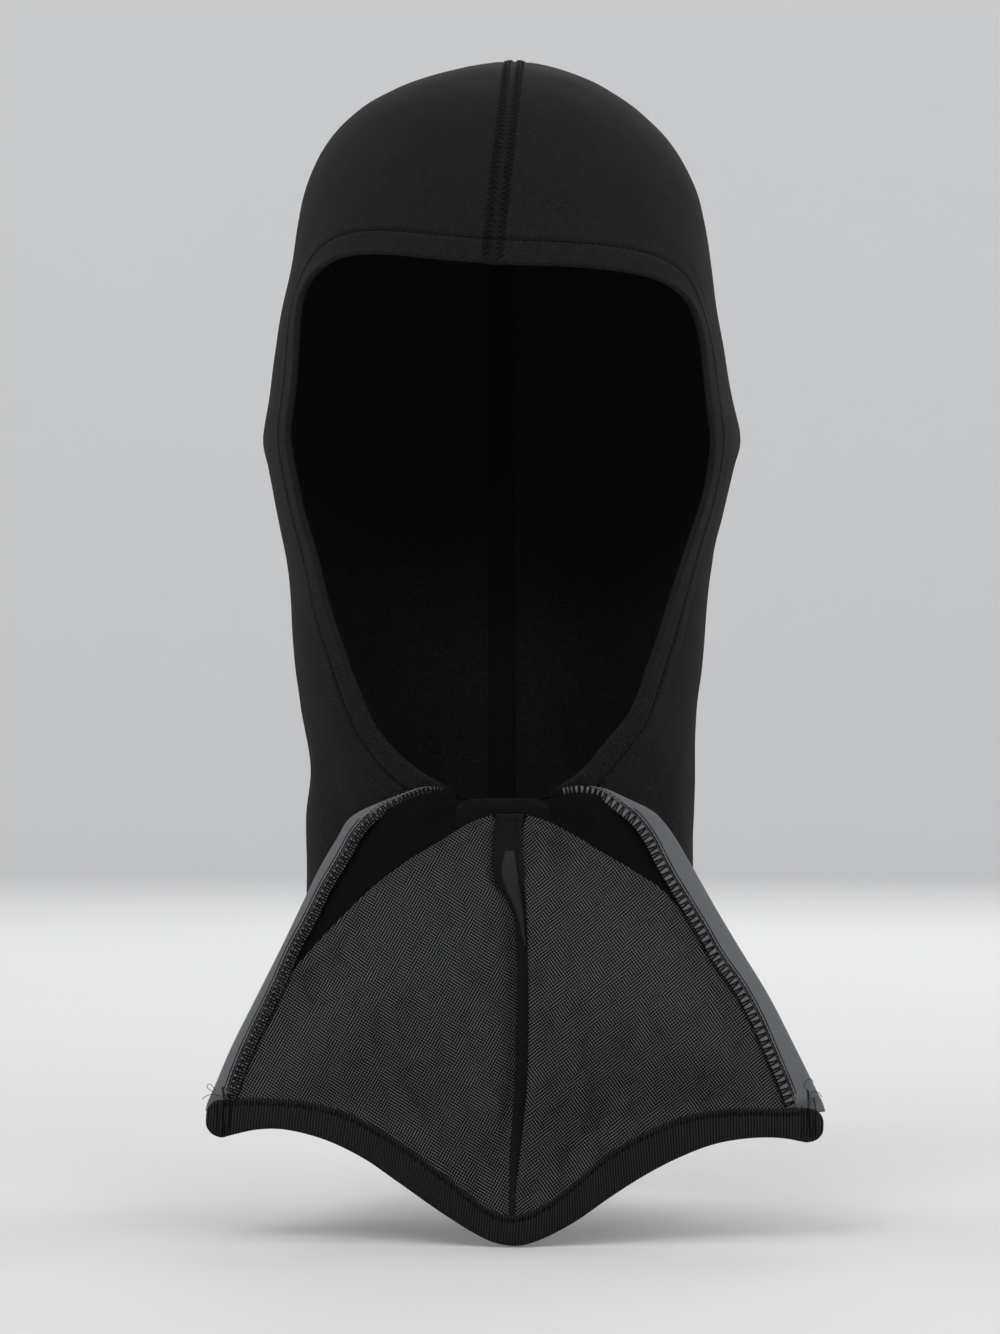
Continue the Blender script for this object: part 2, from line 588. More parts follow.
def seam_x(p):
    """Where the centre seam runs, for points near the middle plane."""
    z = p[..., 2]
    f = np.interp(z, *zip(*SEAM_FRONT))
    b = np.interp(z, *zip(*SEAM_BACK))
    return np.where(p[..., 1] < CROWN[1], f, b)


RIM_ROWS = [1.55, 2.0, 2.7, 3.5, 4.4, 5.3, 6.2, 7.0, 7.6, 8.1, 8.55, 9.0, 9.45, 9.9, 10.5, 11.3, 12.3, 13.6, 15.2, 17.0]
NECK_ROWS = [18.0, 16.6, 15.6, 14.7, 13.9, 13.2, 12.4, 11.5, 10.7, 9.9, 9.2, 8.0, 6.4, 4.8, 3.4, 2.4, 1.7]


def hood_grid(nt=280, mid=118):
    rim = rim_curve(nt)
    rim, _ = onto(rim)
    rows = []
    p = rim.copy()
    e = 0.0
    for want in RIM_ROWS:
        while e < want - 1e-9:
            step = min(0.5, want - e)
            _, n = onto(p)
            tang = unit(np.roll(p, -2, 0) - np.roll(p, 2, 0))
            w = unit(np.cross(n, tang))
            w *= np.sign(np.einsum("ij,ij->i", w, p - np.array([0, -120, -30.0])))[:, None]
            p, _ = onto(p + w * step)
            e += step
        p = blur_closed(p, 1)
        p, _ = onto(p)
        rows.append(p.copy())
    zb = -224 + NECK_ROWS[0]
    l, r, f, b = section(np.array([zb]))
    ang = np.linspace(0, 2 * math.pi, nt, endpoint=False)
    ee = 2 / POWER

    def ring(z):
        l, r, f, b = (float(v[0]) for v in section(np.array([z])))
        fine = np.linspace(0, 2 * math.pi, 1441)
        c = np.stack([(l + r) / 2 + (r - l) / 2 * np.sign(np.sin(fine)) * np.abs(np.sin(fine)) ** ee,
                      (f + b) / 2 + (b - f) / 2 * np.sign(np.cos(fine)) * np.abs(np.cos(fine)) ** ee,
                      np.full(fine.shape, z)], -1)
        d = arcs(c)
        return at_arc(c, np.linspace(0, d[-1], nt + 1))[:-1]
    neck = [ring(-224 + h) for h in NECK_ROWS]
    qa, qb = to_plane(rows[-1]), to_plane(neck[0])
    s = np.linspace(0, 1, mid + 2)[1:-1]
    s = s + 0.10 * np.sin(2 * math.pi * s) / (2 * math.pi)
    q = (1 - s)[:, None, None] * qa[None] + s[:, None, None] * qb[None]
    middle = cast(from_plane(q).reshape(-1, 3)).reshape(mid, nt, 3)
    grid = np.concatenate([np.array(rows), middle, np.array(neck)])
    a, b = len(rows), len(rows) + mid
    half = nt // 2
    for k in range(46):
        g = grid
        new = (g[a - 1:b - 1] + g[a + 1:b + 1] + np.roll(g[a:b], 1, 1) + np.roll(g[a:b], -1, 1)) / 4
        grid[a:b] = 0.3 * g[a:b] + 0.7 * new
        for c in (0, half):
            grid[a:b, c, 0] = seam_x(grid[a:b, c])
        if k % 6 == 5 or k == 45:
            grid[a:b], _ = onto(grid[a:b])
    for c in (0, half):
        grid[:, c, 0] = seam_x(grid[:, c])
    return grid


def clustered(length, inner, step):
    """Distances from 0 to length: close together near both ends."""
    near = [g for g in inner if g < length * 0.45]
    n = max(2, int(round((length - 2 * near[-1]) / step)))
    return np.r_[near, np.linspace(near[-1], length - near[-1], n + 1)[1:-1], [length - g for g in near[::-1]]]


NEAR_SEAM = [0.0, 0.3, 0.7, 1.2, 1.8, 2.5, 3.2, 4.0, 5.0, 6.5, 8.5]


def half_panel(grid, right):
    nt = grid.shape[1]
    half = nt // 2
    cols = grid[:, :half + 1] if right else np.concatenate([grid[:, half:], grid[:, :1]], 1)[:, ::-1]
    lengths = np.linalg.norm(np.diff(cols, axis=1), axis=2).sum(1)
    count = len(clustered(float(np.mean(lengths)), NEAR_SEAM, 2.4))
    rows, gs = [], []
    for r, length in zip(cols, lengths):
        near = np.array(NEAR_SEAM)
        n = count - 2 * len(near)
        d = np.r_[near, np.linspace(near[-1], length - near[-1], n + 2)[1:-1], length - near[::-1]]
        dd = arcs(r)
        rows.append(np.stack([np.interp(d, dd, r[:, k]) for k in range(3)], -1))
        gs.append(np.minimum(d, length - d))
    p = np.array(rows)
    # smooth the resampled columns a little, off the seams
    for _ in range(3):
        p[1:-1, 1:-1] = (4 * p[1:-1, 1:-1] + p[:-2, 1:-1] + p[2:, 1:-1] + p[1:-1, :-2] + p[1:-1, 2:]) / 8
    return p, np.array(gs)


GRID = hood_grid()
HOOD = {}


def build_hood_half(name, right):
    p, g = half_panel(GRID, right)
    n = grid_normals(p)
    out = p - np.array([0, 0, -40.0])
    if np.einsum("ijk,ijk->ij", n, out * [1, 1, 0.2]).mean() < 0:
        n = -n
    for _ in range(4):
        n[1:-1] = unit(n[:-2] + 2 * n[1:-1] + n[2:])
        n[:, 1:-1] = unit(n[:, :-2] + 2 * n[:, 1:-1] + n[:, 2:])
    m, k = p.shape[:2]
    e = np.full((m, k), 40.0)
    e[:len(RIM_ROWS)] = np.array(RIM_ROWS)[:, None]
    u = np.full((m, k), 60.0)
    u[-len(NECK_ROWS):] = np.array(NECK_ROWS)[:, None]
    # outside relief, millimetres
    h = 0.30 * (1 - sstep(7.4, 9.0, e)) - 0.50 * bump(e, 9.0, 0.6) + 0.16 * bump(e, 11.0, 1.6)
    h += 0.35 * (1 - sstep(13.0, 14.8, u)) - 0.4 * bump(u, 13.2, 0.8) - 0.4 * bump(u, 9.9, 0.8)
    seam = -0.32 * bump(g, 0.0, 0.40) + 0.34 * bump(g, 1.7, 1.6) - 0.18 * bump(g, 4.3, 0.8)
    h += seam
    # slight pucker of the hem beside its stitches and soft waves of the cloth
    h += 0.12 * lattice_noise(p, 5.0, 3) * bump(e, 6.0, 5.0)
    h += 0.45 * lattice_noise(p, 26.0, 5) * sstep(9, 30, np.minimum(e, 30) + 0 * g)
    h += 0.18 * lattice_noise(p, 9.0, 8) * sstep(9, 16, e)
    # drag lines in the neck below the ears
    z = p[..., 2]
    neck = sstep(-70, -110, z)
    h += 0.55 * neck * np.sin((p[..., 1] * 0.13 + z * 0.05) + 2.2 * lattice_noise(p, 40.0, 11))
    # the ear presses out at ear level
    h += 1.3 * np.exp(-(((z - 0) / 9.0) ** 2) - (((p[..., 1] - 4) / 16.0) ** 2)) * (np.abs(p[..., 0]) > 60)
    outer = p + n * h[..., None]
    thick = 1.2 + 1.25 * (1 - sstep(8.6, 9.4, e)) + 1.0 * (1 - sstep(14.6, 15.6, u)) + 0.9 * (1 - sstep(2.6, 4.4, g))
    inner = outer - n * (thick + np.maximum(h, 0) * 0.5)[..., None]
    # rolled edge at the face opening and at the neck
    roll_rows = []
    w = unit(outer[1] - outer[0])
    mid = (outer[0] + inner[0]) / 2
    rad = np.linalg.norm(outer[0] - inner[0], axis=1) / 2
    for bta in np.linspace(0, math.pi, 9)[1:-1]:
        roll_rows.append(mid + n[0] * (rad * math.cos(bta))[:, None] - w * (1.45 * math.sin(bta)))
    neck_rows = []
    w2 = unit(outer[-1] - outer[-2])
    mid2 = (outer[-1] + inner[-1]) / 2
    rad2 = np.linalg.norm(outer[-1] - inner[-1], axis=1) / 2
    for bta in np.linspace(0, math.pi, 7)[1:-1]:
        neck_rows.append(mid2 + n[-1] * (rad2 * math.cos(bta))[:, None] + w2 * (1.5 * math.sin(bta)))
    ring = np.concatenate([outer, np.array(neck_rows), inner[::-1], np.array(roll_rows)[::-1]])
    rows = ring.transpose(1, 0, 2)
    su = np.concatenate([np.zeros((m, 1)), np.cumsum(np.linalg.norm(np.diff(p, axis=1), axis=2), 1)], 1)
    sv = np.concatenate([np.zeros((1, k)), np.cumsum(np.linalg.norm(np.diff(p, axis=0), axis=2), 0)])
    uv_o = np.stack([su, sv], -1)
    extra_n = np.repeat(uv_o[-1:], len(neck_rows), 0)
    extra_r = np.repeat(uv_o[:1], len(roll_rows), 0)
    extra_n[..., 1] += np.linspace(0.5, 3, len(neck_rows))[:, None]
    extra_r[..., 1] -= np.linspace(0.5, 3, len(roll_rows))[:, None]
    uv = np.concatenate([uv_o, extra_n, uv_o[::-1], extra_r[::-1]]).transpose(1, 0, 2)
    ob = loop_sheet(name, rows, M_JERSEY, uv)
    fix_normals(ob)
    HOOD[name] = dict(p=p, n=n, outer=outer, inner=inner, e=e, g=g)
    return ob


hood_l = build_hood_half("hood_left_half", False)
hood_r = build_hood_half("hood_right_half", True)
for ob, side in ((hood_l, "left"), (hood_r, "right")):
    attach(ob, "hood")
    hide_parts(f"hood_{side}_panel", f"face_hem_{side}", "face_hem_elastic", "neck_hem")

# ------------------------------------------------------------------ threads and tapes of the hood
def seam_line(name, d, end):
    """Points and normals on a hood half at distance d from its crown seam (end 0) or front seam (end 1)."""
    H = HOOD[name]
    pick = (lambda a: a[:, ::-1]) if end else (lambda a: a)
    o, n, g = pick(H["outer"]), pick(H["n"]), pick(H["g"])
    P, N = [], []
    for r in range(len(o)):
        x = g[r, :14]
        P.append([np.interp(d, x, o[r, :14, k]) for k in range(3)])
        N.append([np.interp(d, x, n[r, :14, k]) for k in range(3)])
    return np.array(P), unit(np.array(N))


def along(P, N, s):
    d = arcs(P)
    return (np.stack([np.interp(s, d, P[:, k]) for k in range(3)], -1),
            unit(np.stack([np.interp(s, d, N[:, k]) for k in range(3)], -1)))


def dashes(P, N, pitch, length, lift=0.0, wobble=0.0, start=0.0, stop=None):
    total = arcs(P)[-1] if stop is None else stop
    out = []
    s = start
    while s + length < total:
        j = (RNG.random() - 0.5) * wobble
        a, na = along(P, N, s + j)
        b, nb = along(P, N, s + length + j)
        out.append((a + na * lift, b + nb * lift, na + nb))
        s += pitch
    return out


def zigzag(PA, NA, PB, NB, pitch, lift=0.0, start=0.0, stop=None):
    """Threads that cross from one row to the other and back."""
    la, lb = arcs(PA)[-1], arcs(PB)[-1]
    n = int((la if stop is None else stop) // pitch)
    out = []
    for k in range(int(start // pitch), n):
        a, na = along(PA, NA, k * pitch)
        b, nb = along(PB, NB, (k + 0.5) * pitch * lb / la)
        c, nc = along(PA, NA, (k + 1) * pitch)
        out.append((a + na * lift, b + nb * lift, na + nb))
        out.append((b + nb * lift, c + nc * lift, nb + nc))
    return out


def tubes(name, paths, radius, material, sides=6):
    """Round threads along polylines."""
    verts, faces = [], []
    ang = np.linspace(0, 2 * math.pi, sides, endpoint=False)
    for path in paths:
        p = np.asarray(path, float)
        t = unit(np.gradient(p, axis=0))
        ref = np.array([0.0, -1.0, 0.02])
        s = unit(np.cross(t, ref))
        w = unit(np.cross(s, t))
        base = len(verts)
        for i in range(len(p)):
            r = radius * (0.55 if i in (0, len(p) - 1) else 1.0)
            for a in ang:
                verts.append(p[i] + r * (s[i] * math.cos(a) + w[i] * math.sin(a)))
        for i in range(len(p) - 1):
            for k in range(sides):
                a, b = base + i * sides + k, base + i * sides + (k + 1) % sides
                faces.append((a, b, b + sides, a + sides))
        faces.append(tuple(base + k for k in range(sides))[::-1])
        faces.append(tuple(base + (len(p) - 1) * sides + k for k in range(sides)))
    return new_object(name, verts, faces, material)


def dark_where(ob, test, material):
    """Faces whose centre passes the test wear the second material."""
    ob.data.materials.append(material)
    for poly in ob.data.polygons:
        if test(poly.center / MM, poly.normal):
            poly.material_index = len(ob.data.materials) - 1


def near_join(c, n):
    """The turned edge beside the joining strip, where the black cloth wraps it."""
    x = abs(c[0])
    return 9 < x < 21.5 and c[2] > -134.5 and (n[1] < -0.3 or n[2] > 0.3) or 9 < x < 18 and c[2] > -131.8


def finish_piece(ob, body, slot, *nodes):
    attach(ob, body)
    if nodes:
        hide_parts(*nodes)
    return ob


HL, HR = "hood_left_half", "hood_right_half"
segs = []
for name in (HL, HR):
    for d, start in ((3.5, 1.0), (2.3, 1.6), (1.1, 1.2)):
        P, N = seam_line(name, d, 0)
        segs += dashes(P, N, 2.1, 1.55, lift=0.06, wobble=0.2, start=start)
    P, N = seam_line(name, 2.6, 1)
    segs += dashes(P, N, 2.1, 1.5, lift=0.04, wobble=0.15, start=4.0)
    PA, NA = seam_line(name, 1.2, 0)
    PB, NB = seam_line(name, 3.4, 0)
    segs += zigzag(PA, NA, PB, NB, 2.1, lift=0.04, start=1.0)
ob = stitches("crown_coverstitch", segs, 0.25, M_THREAD)
finish_piece(ob, "hood", "black_thread", "crown_seam_stitching")

segs = []
for name in (HL, HR):
    H = HOOD[name]
    r = RIM_ROWS.index(9.0)
    P, N = H["outer"][r], H["n"][r]
    segs += dashes(P, N, 2.5, 1.75, lift=0.12, wobble=0.25, start=0.4)
    inner = H["inner"][r]
    r2 = RIM_ROWS.index(7.0)
    PB, NB = H["inner"][r2], -H["n"][r2]
    segs += zigzag(inner, -N, PB, NB, 2.3, lift=0.1)
ob = stitches("face_hem_thread", segs, 0.27, M_THREAD)
finish_piece(ob, "hood", "black_thread", "face_hem_stitching")

segs = []
for name in (HL, HR):
    H = HOOD[name]
    m = H["outer"].shape[0]
    for want in (13.2, 9.9):
        r = m - len(NECK_ROWS) + NECK_ROWS.index(want)
        segs += dashes(H["outer"][r], H["n"][r], 2.4, 1.6, lift=0.05, wobble=0.15, start=0.4)
    ra, rb = m - len(NECK_ROWS) + NECK_ROWS.index(13.2), m - len(NECK_ROWS) + NECK_ROWS.index(9.9)
    segs += zigzag(H["inner"][ra], -H["n"][ra], H["inner"][rb], -H["n"][rb], 2.4, lift=0.1)
ob = stitches("neck_hem_thread", segs, 0.19, M_THREAD)
finish_piece(ob, "hood", "black_thread", "neck_hem_stitching")


def inside_tape(name, end, first, last, half, lift, replaces):
    """Tape over the inside of a centre seam."""
    rows = []
    for r in range(first, last):
        line = []
        for nm, sign in ((HL, -1), (HR, 1)):
            H = HOOD[nm]
            o = H["inner"][:, ::-1] if end else H["inner"]
            n = H["n"][:, ::-1] if end else H["n"]
            g = H["g"][:, ::-1] if end else H["g"]
            ds = [half, half * 0.8, half * 0.5, half * 0.2]
            pts = []
            for d in ds:
                p = np.array([np.interp(d, g[r, :14], o[r, :14, k]) for k in range(3)])
                q = unit(np.array([np.interp(d, g[r, :14], n[r, :14, k]) for k in range(3)]))
                pts.append((p, q))
            line += pts if sign < 0 else pts[::-1]
        rows.append(line)
    m = len(rows)
    k = len(rows[0])
    face = np.array([[p - n * (lift + 0.55 - 0.25 * abs(2 * j / (k - 1) - 1) ** 6) for j, (p, n) in enumerate(row)] for row in rows])
    back = np.array([[p - n * lift for p, n in row] for row in rows])
    arc = np.concatenate([[0], np.cumsum(np.linalg.norm(np.diff(face[:, 0], axis=0), axis=1))])
    uv = np.stack(np.meshgrid(arc, np.linspace(0, 2 * half, k), indexing="ij"), -1)[..., ::-1]
    ob = fix_normals(slab(name, face, back, M_TAPE, uv))
    return finish_piece(ob, "hood", "seam_tape", replaces)


rows_all = HOOD[HL]["outer"].shape[0]
inside_tape("crown_tape", 0, len(RIM_ROWS) - 8, rows_all - len(NECK_ROWS) + 2, 5.0, 0.12, "crown_seam_tape")
inside_tape("front_tape", 1, len(RIM_ROWS) - 8, rows_all - len(NECK_ROWS) + 2, 5.0, 0.12, "front_seam_tape")


def care_label():
    w, h = 24.0, 34.0
    nx, nz = 15, 21
    x = np.linspace(-w / 2, w / 2, nx)
    t = np.linspace(0, 1, nz)
    X, T = np.meshgrid(x, t)
    z = -210.5 + h * T
    top = 60.2 - 1.4 * T ** 1.5 + 0.5 * np.sin(3.0 * T + X * 0.08) * T + 0.0016 * X ** 2 * T
    p = np.stack([X, np.minimum(top, 60.5), z], -1)
    n = grid_normals(p)
    ob = fix_normals(slab("care_tag", p - n * 0.12, p + n * 0.12, M_LABEL, np.stack([X, z], -1)))
    finish_piece(ob, "hood", "label_white", "care_label")
    return ob


care_label()


# ------------------------------------------------------------------ the mask
def mask_y(x, z):
    t = np.clip((-130 - z) / 120, 0, 1)
    c = 0.0046 * (1 - t) ** 2 + 0.0009
    return -68.0 - 0.21 * (-130 - z) + c * x * x


def cup(x, z):
    top = -138.5 - 0.0118 * (x - 3.5) ** 2
    low = -233.5 - 39.0 / (1 + ((x - 4) / 28) ** 2)
    span = top - low
    t = np.clip((z - low) / np.where(span > 2, span, 2), 0, 1)
    rise = (4 * t * (1 - t)) ** 1.6 * span ** 3 / (np.abs(span) ** 3 + 40.0 ** 3)
    return np.where(span > 2, 13.0 * rise * (1 - 0.4 * np.exp(-((x - 4) / 14) ** 2)), 0.0)


def on_mask(x, z, d):
    return np.stack([x, mask_y(x, z) - d, z], -1)


def curve_at(points, t):
    c = smooth_curve(points, 800)
    return at_arc(c, np.asarray(t) * arcs(c)[-1])


def coons(top, bottom, left, right, u, v):
    """Flat patch: top and bottom run over u, left and right over v."""
    T, B = curve_at(top, u)[None], curve_at(bottom, u)[None]
    L, R = curve_at(left, v)[:, None], curve_at(right, v)[:, None]
    U, V = np.asarray(u)[None, :, None], np.asarray(v)[:, None, None]
    return ((1 - V) * T + V * B + (1 - U) * L + U * R
            - ((1 - U) * (1 - V) * T[:, :1] + U * (1 - V) * T[:, -1:]
               + (1 - U) * V * B[:, :1] + U * V * B[:, -1:]))


def near_line(x, z, pts):
    """Distance to a polyline and the share along it of the nearest point."""
    p = np.array(pts, float)
    best = np.full(x.shape, 1e9)
    share = np.zeros(x.shape)
    seg = np.linalg.norm(np.diff(p, axis=0), axis=1)
    cum = np.r_[0, np.cumsum(seg)]
    for i in range(len(p) - 1):
        d = p[i + 1] - p[i]
        t = np.clip(((x - p[i, 0]) * d[0] + (z - p[i, 1]) * d[1]) / (seg[i] ** 2), 0, 1)
        q = np.hypot(x - p[i, 0] - t * d[0], z - p[i, 1] - t * d[1])
        share = np.where(q < best, (cum[i] + t * seg[i]) / cum[-1], share)
        best = np.minimum(best, q)
    return best, share


def crease(x, z, pts, width, amount):
    d, s = near_line(x, z, pts)
    return amount * np.exp(-(d / width) ** 2) * np.clip(np.sin(math.pi * np.clip(s, 0.02, 0.98)) * 1.6, 0, 1)


BAND_TOP = [
    (-98.2, -237.2), (-94.0, -236.7), (-87.3, -236.5), (-77.3, -236.7), (-66.4, -238.0),
    (-55.6, -240.8), (-44.9, -246.0), (-33.3, -253.0), (-21.9, -261.3), (-10.2, -270.2),
    (-5.0, -274.0), (1.0, -276.2), (6.3, -276.1), (13.0, -273.7), (21.3, -268.3), (29.6, -261.5),
    (38.1, -254.8), (50.5, -247.9), (63.1, -242.9), (75.7, -240.6), (88.4, -240.0),
    (97.5, -240.4), (107.8, -240.4),
]
BAND_BOTTOM = [
    (-99.0, -250.6), (-94.0, -249.2), (-87.1, -247.7), (-79.5, -247.3), (-71.1, -248.5),
    (-60.9, -251.5), (-48.7, -257.3), (-37.0, -265.1), (-21.9, -275.4), (-10.2, -282.6),
    (-2.8, -286.0), (5.6, -287.1), (13.0, -285.2), (25.3, -279.1), (38.0, -270.6),
    (50.4, -263.0), (63.0, -256.8), (75.6, -252.4), (88.3, -250.6), (99.2, -250.8), (107.5, -252.4),
]
CENTRE = 3.0
OUT_L = [(-13.3, -132.0), (-18.6, -128.6), (-24.0, -126.8), (-29.4, -127.2), (-35.0, -128.9),
         (-42.4, -132.0), (-51.6, -136.1)] + MASK_LEFT + [(-105.2, -241.5)]
OUT_R = [(13.6, -132.0), (19.7, -128.2), (28.3, -126.6), (35.9, -127.3), (45.1, -131.2),
         (54.3, -135.9)] + MASK_RIGHT + [(114.8, -241.8)]
LOW_L = [(CENTRE, -278.6), (-5.0, -276.4), (-10.2, -273.0), (-21.9, -264.0), (-33.3, -256.0),
         (-44.9, -249.0), (-55.6, -243.6), (-66.4, -240.8), (-77.3, -239.4), (-87.3, -239.2), (-98.2, -240.0), (-105.2, -241.5)]
LOW_R = [(CENTRE, -278.6), (6.3, -278.4), (13.0, -276.4), (21.3, -271.0), (29.6, -264.2), (38.1, -257.5),
         (50.5, -250.6), (63.1, -245.6), (75.7, -243.3), (88.4, -242.6), (97.5, -242.8), (114.8, -241.8)]
V_SHELL = np.linspace(0, 1, 150)
EDGE = {}


def shell_half(name, side, out, low, seam):
    v = V_SHELL
    ub = 1 - (1 - np.linspace(0, 1, 42)) ** 1.15
    patch = coons([(CENTRE, -132.0), out[0]], low, [(CENTRE, -132.0), (CENTRE, -278.6)], out, ub, v)
    E = curve_at(out, v)
    S = curve_at(seam + [(seam[-1][0] + (seam[-1][0] - seam[-2][0]) * 0.2, seam[-1][1] - 1.5)], v)
    # nearest point of the seam for each edge point keeps the strip square to the edge
    fine = curve_at(seam, np.linspace(0, 1, 1200))
    ext = seam[-1]
    fine = np.vstack([fine, np.linspace(ext, (ext[0] + (0.6 if side > 0 else -0.6), -243.0), 20)])
    idx = [int(np.argmin(np.hypot(*(fine - e).T))) for e in E]
    idx = np.maximum.accumulate(idx)
    S = fine[idx]
    for _ in range(6):
        S[1:-1] = (S[:-2] + 2 * S[1:-1] + S[2:]) / 4
    dist = np.maximum(np.linalg.norm(S - E, axis=1), 0.6)
    inw = unit(S - E)
    limit = np.maximum(dist - 1.55, 0.45 * dist)
    R = np.clip(0.42 * limit, 0.45, 1.75)
    for _ in range(10):
        R[1:-1] = (R[:-2] + 2 * R[1:-1] + R[2:]) / 4
    # towards its lower end the strip flattens and goes under the band
    R = R * (1 - 0.52 * sstep(0.955, 0.985, v))
    D = 2 * R - 0.15
    th = np.minimum(0.85, 0.6 * R)
    outer, inner = [], []
    for j in range(patch.shape[1]):
        x, z = patch[:, j, 0], patch[:, j, 1]
        # the last columns stop where the fold begins
        pull = R * ub[j] ** 6
        x = x + inw[:, 0] * pull
        z = z + inw[:, 1] * pull
        wav = 0.35 * lattice_noise(np.stack([x, 0 * x, z], -1), 17.0, 21) * (1 - ub[j] ** 8)
        d = -0.15 - 0.0 + wav * 0.6
        outer.append(on_mask(x, z, d))
        inner.append(on_mask(x, z, d + th))
    for b in np.linspace(-math.pi / 2, math.pi / 2, 13)[1:-1]:
        for store, rr in ((outer, R), (inner, R - th)):
            off = R - rr * math.cos(b)
            x = E[:, 0] + inw[:, 0] * off
            z = E[:, 1] + inw[:, 1] * off
            store.append(on_mask(x, z, (R - 0.15) + rr * math.sin(b)))
    for f in np.linspace(0, 1, 9)[0:]:
        off = R + (limit - R) * f
        x = E[:, 0] + inw[:, 0] * off
        z = E[:, 1] + inw[:, 1] * off
        dip = 0.25 * f ** 4
        ripple = 0.10 * np.sin(v * 95.0 + 2.0 * lattice_noise(np.stack([x, 0 * x, z], -1), 14.0, 9)) * f
        outer.append(on_mask(x, z, D - dip + ripple))
        inner.append(on_mask(x, z, D - th - dip + ripple))
    O = np.array(outer).transpose(1, 0, 2)
    I = np.array(inner).transpose(1, 0, 2)
    su = np.concatenate([np.zeros((len(v), 1)), np.cumsum(np.linalg.norm(np.diff(O, axis=1), axis=2), 1)], 1)
    sv = np.concatenate([np.zeros((1, O.shape[1])), np.cumsum(np.linalg.norm(np.diff(O, axis=0), axis=2), 0)])
    ob = fix_normals(slab(name, O, I, M_GREY, np.stack([su, sv], -1)))
    EDGE[side] = dict(E=E, S=S, inw=inw, D=D, limit=limit, dist=dist, th=th)
    return ob


ob = shell_half("grey_outer_left", -1, OUT_L, LOW_L, SEAM_LEFT)
dark_where(ob, near_join, M_YOKE)
finish_piece(ob, "mask", "grey_shell", "mask_shell_left", "mask_side_binding_left")
ob = shell_half("grey_outer_right", 1, OUT_R, LOW_R, SEAM_RIGHT)
dark_where(ob, near_join, M_YOKE)
finish_piece(ob, "mask", "grey_shell", "mask_shell_right", "mask_side_binding_right")


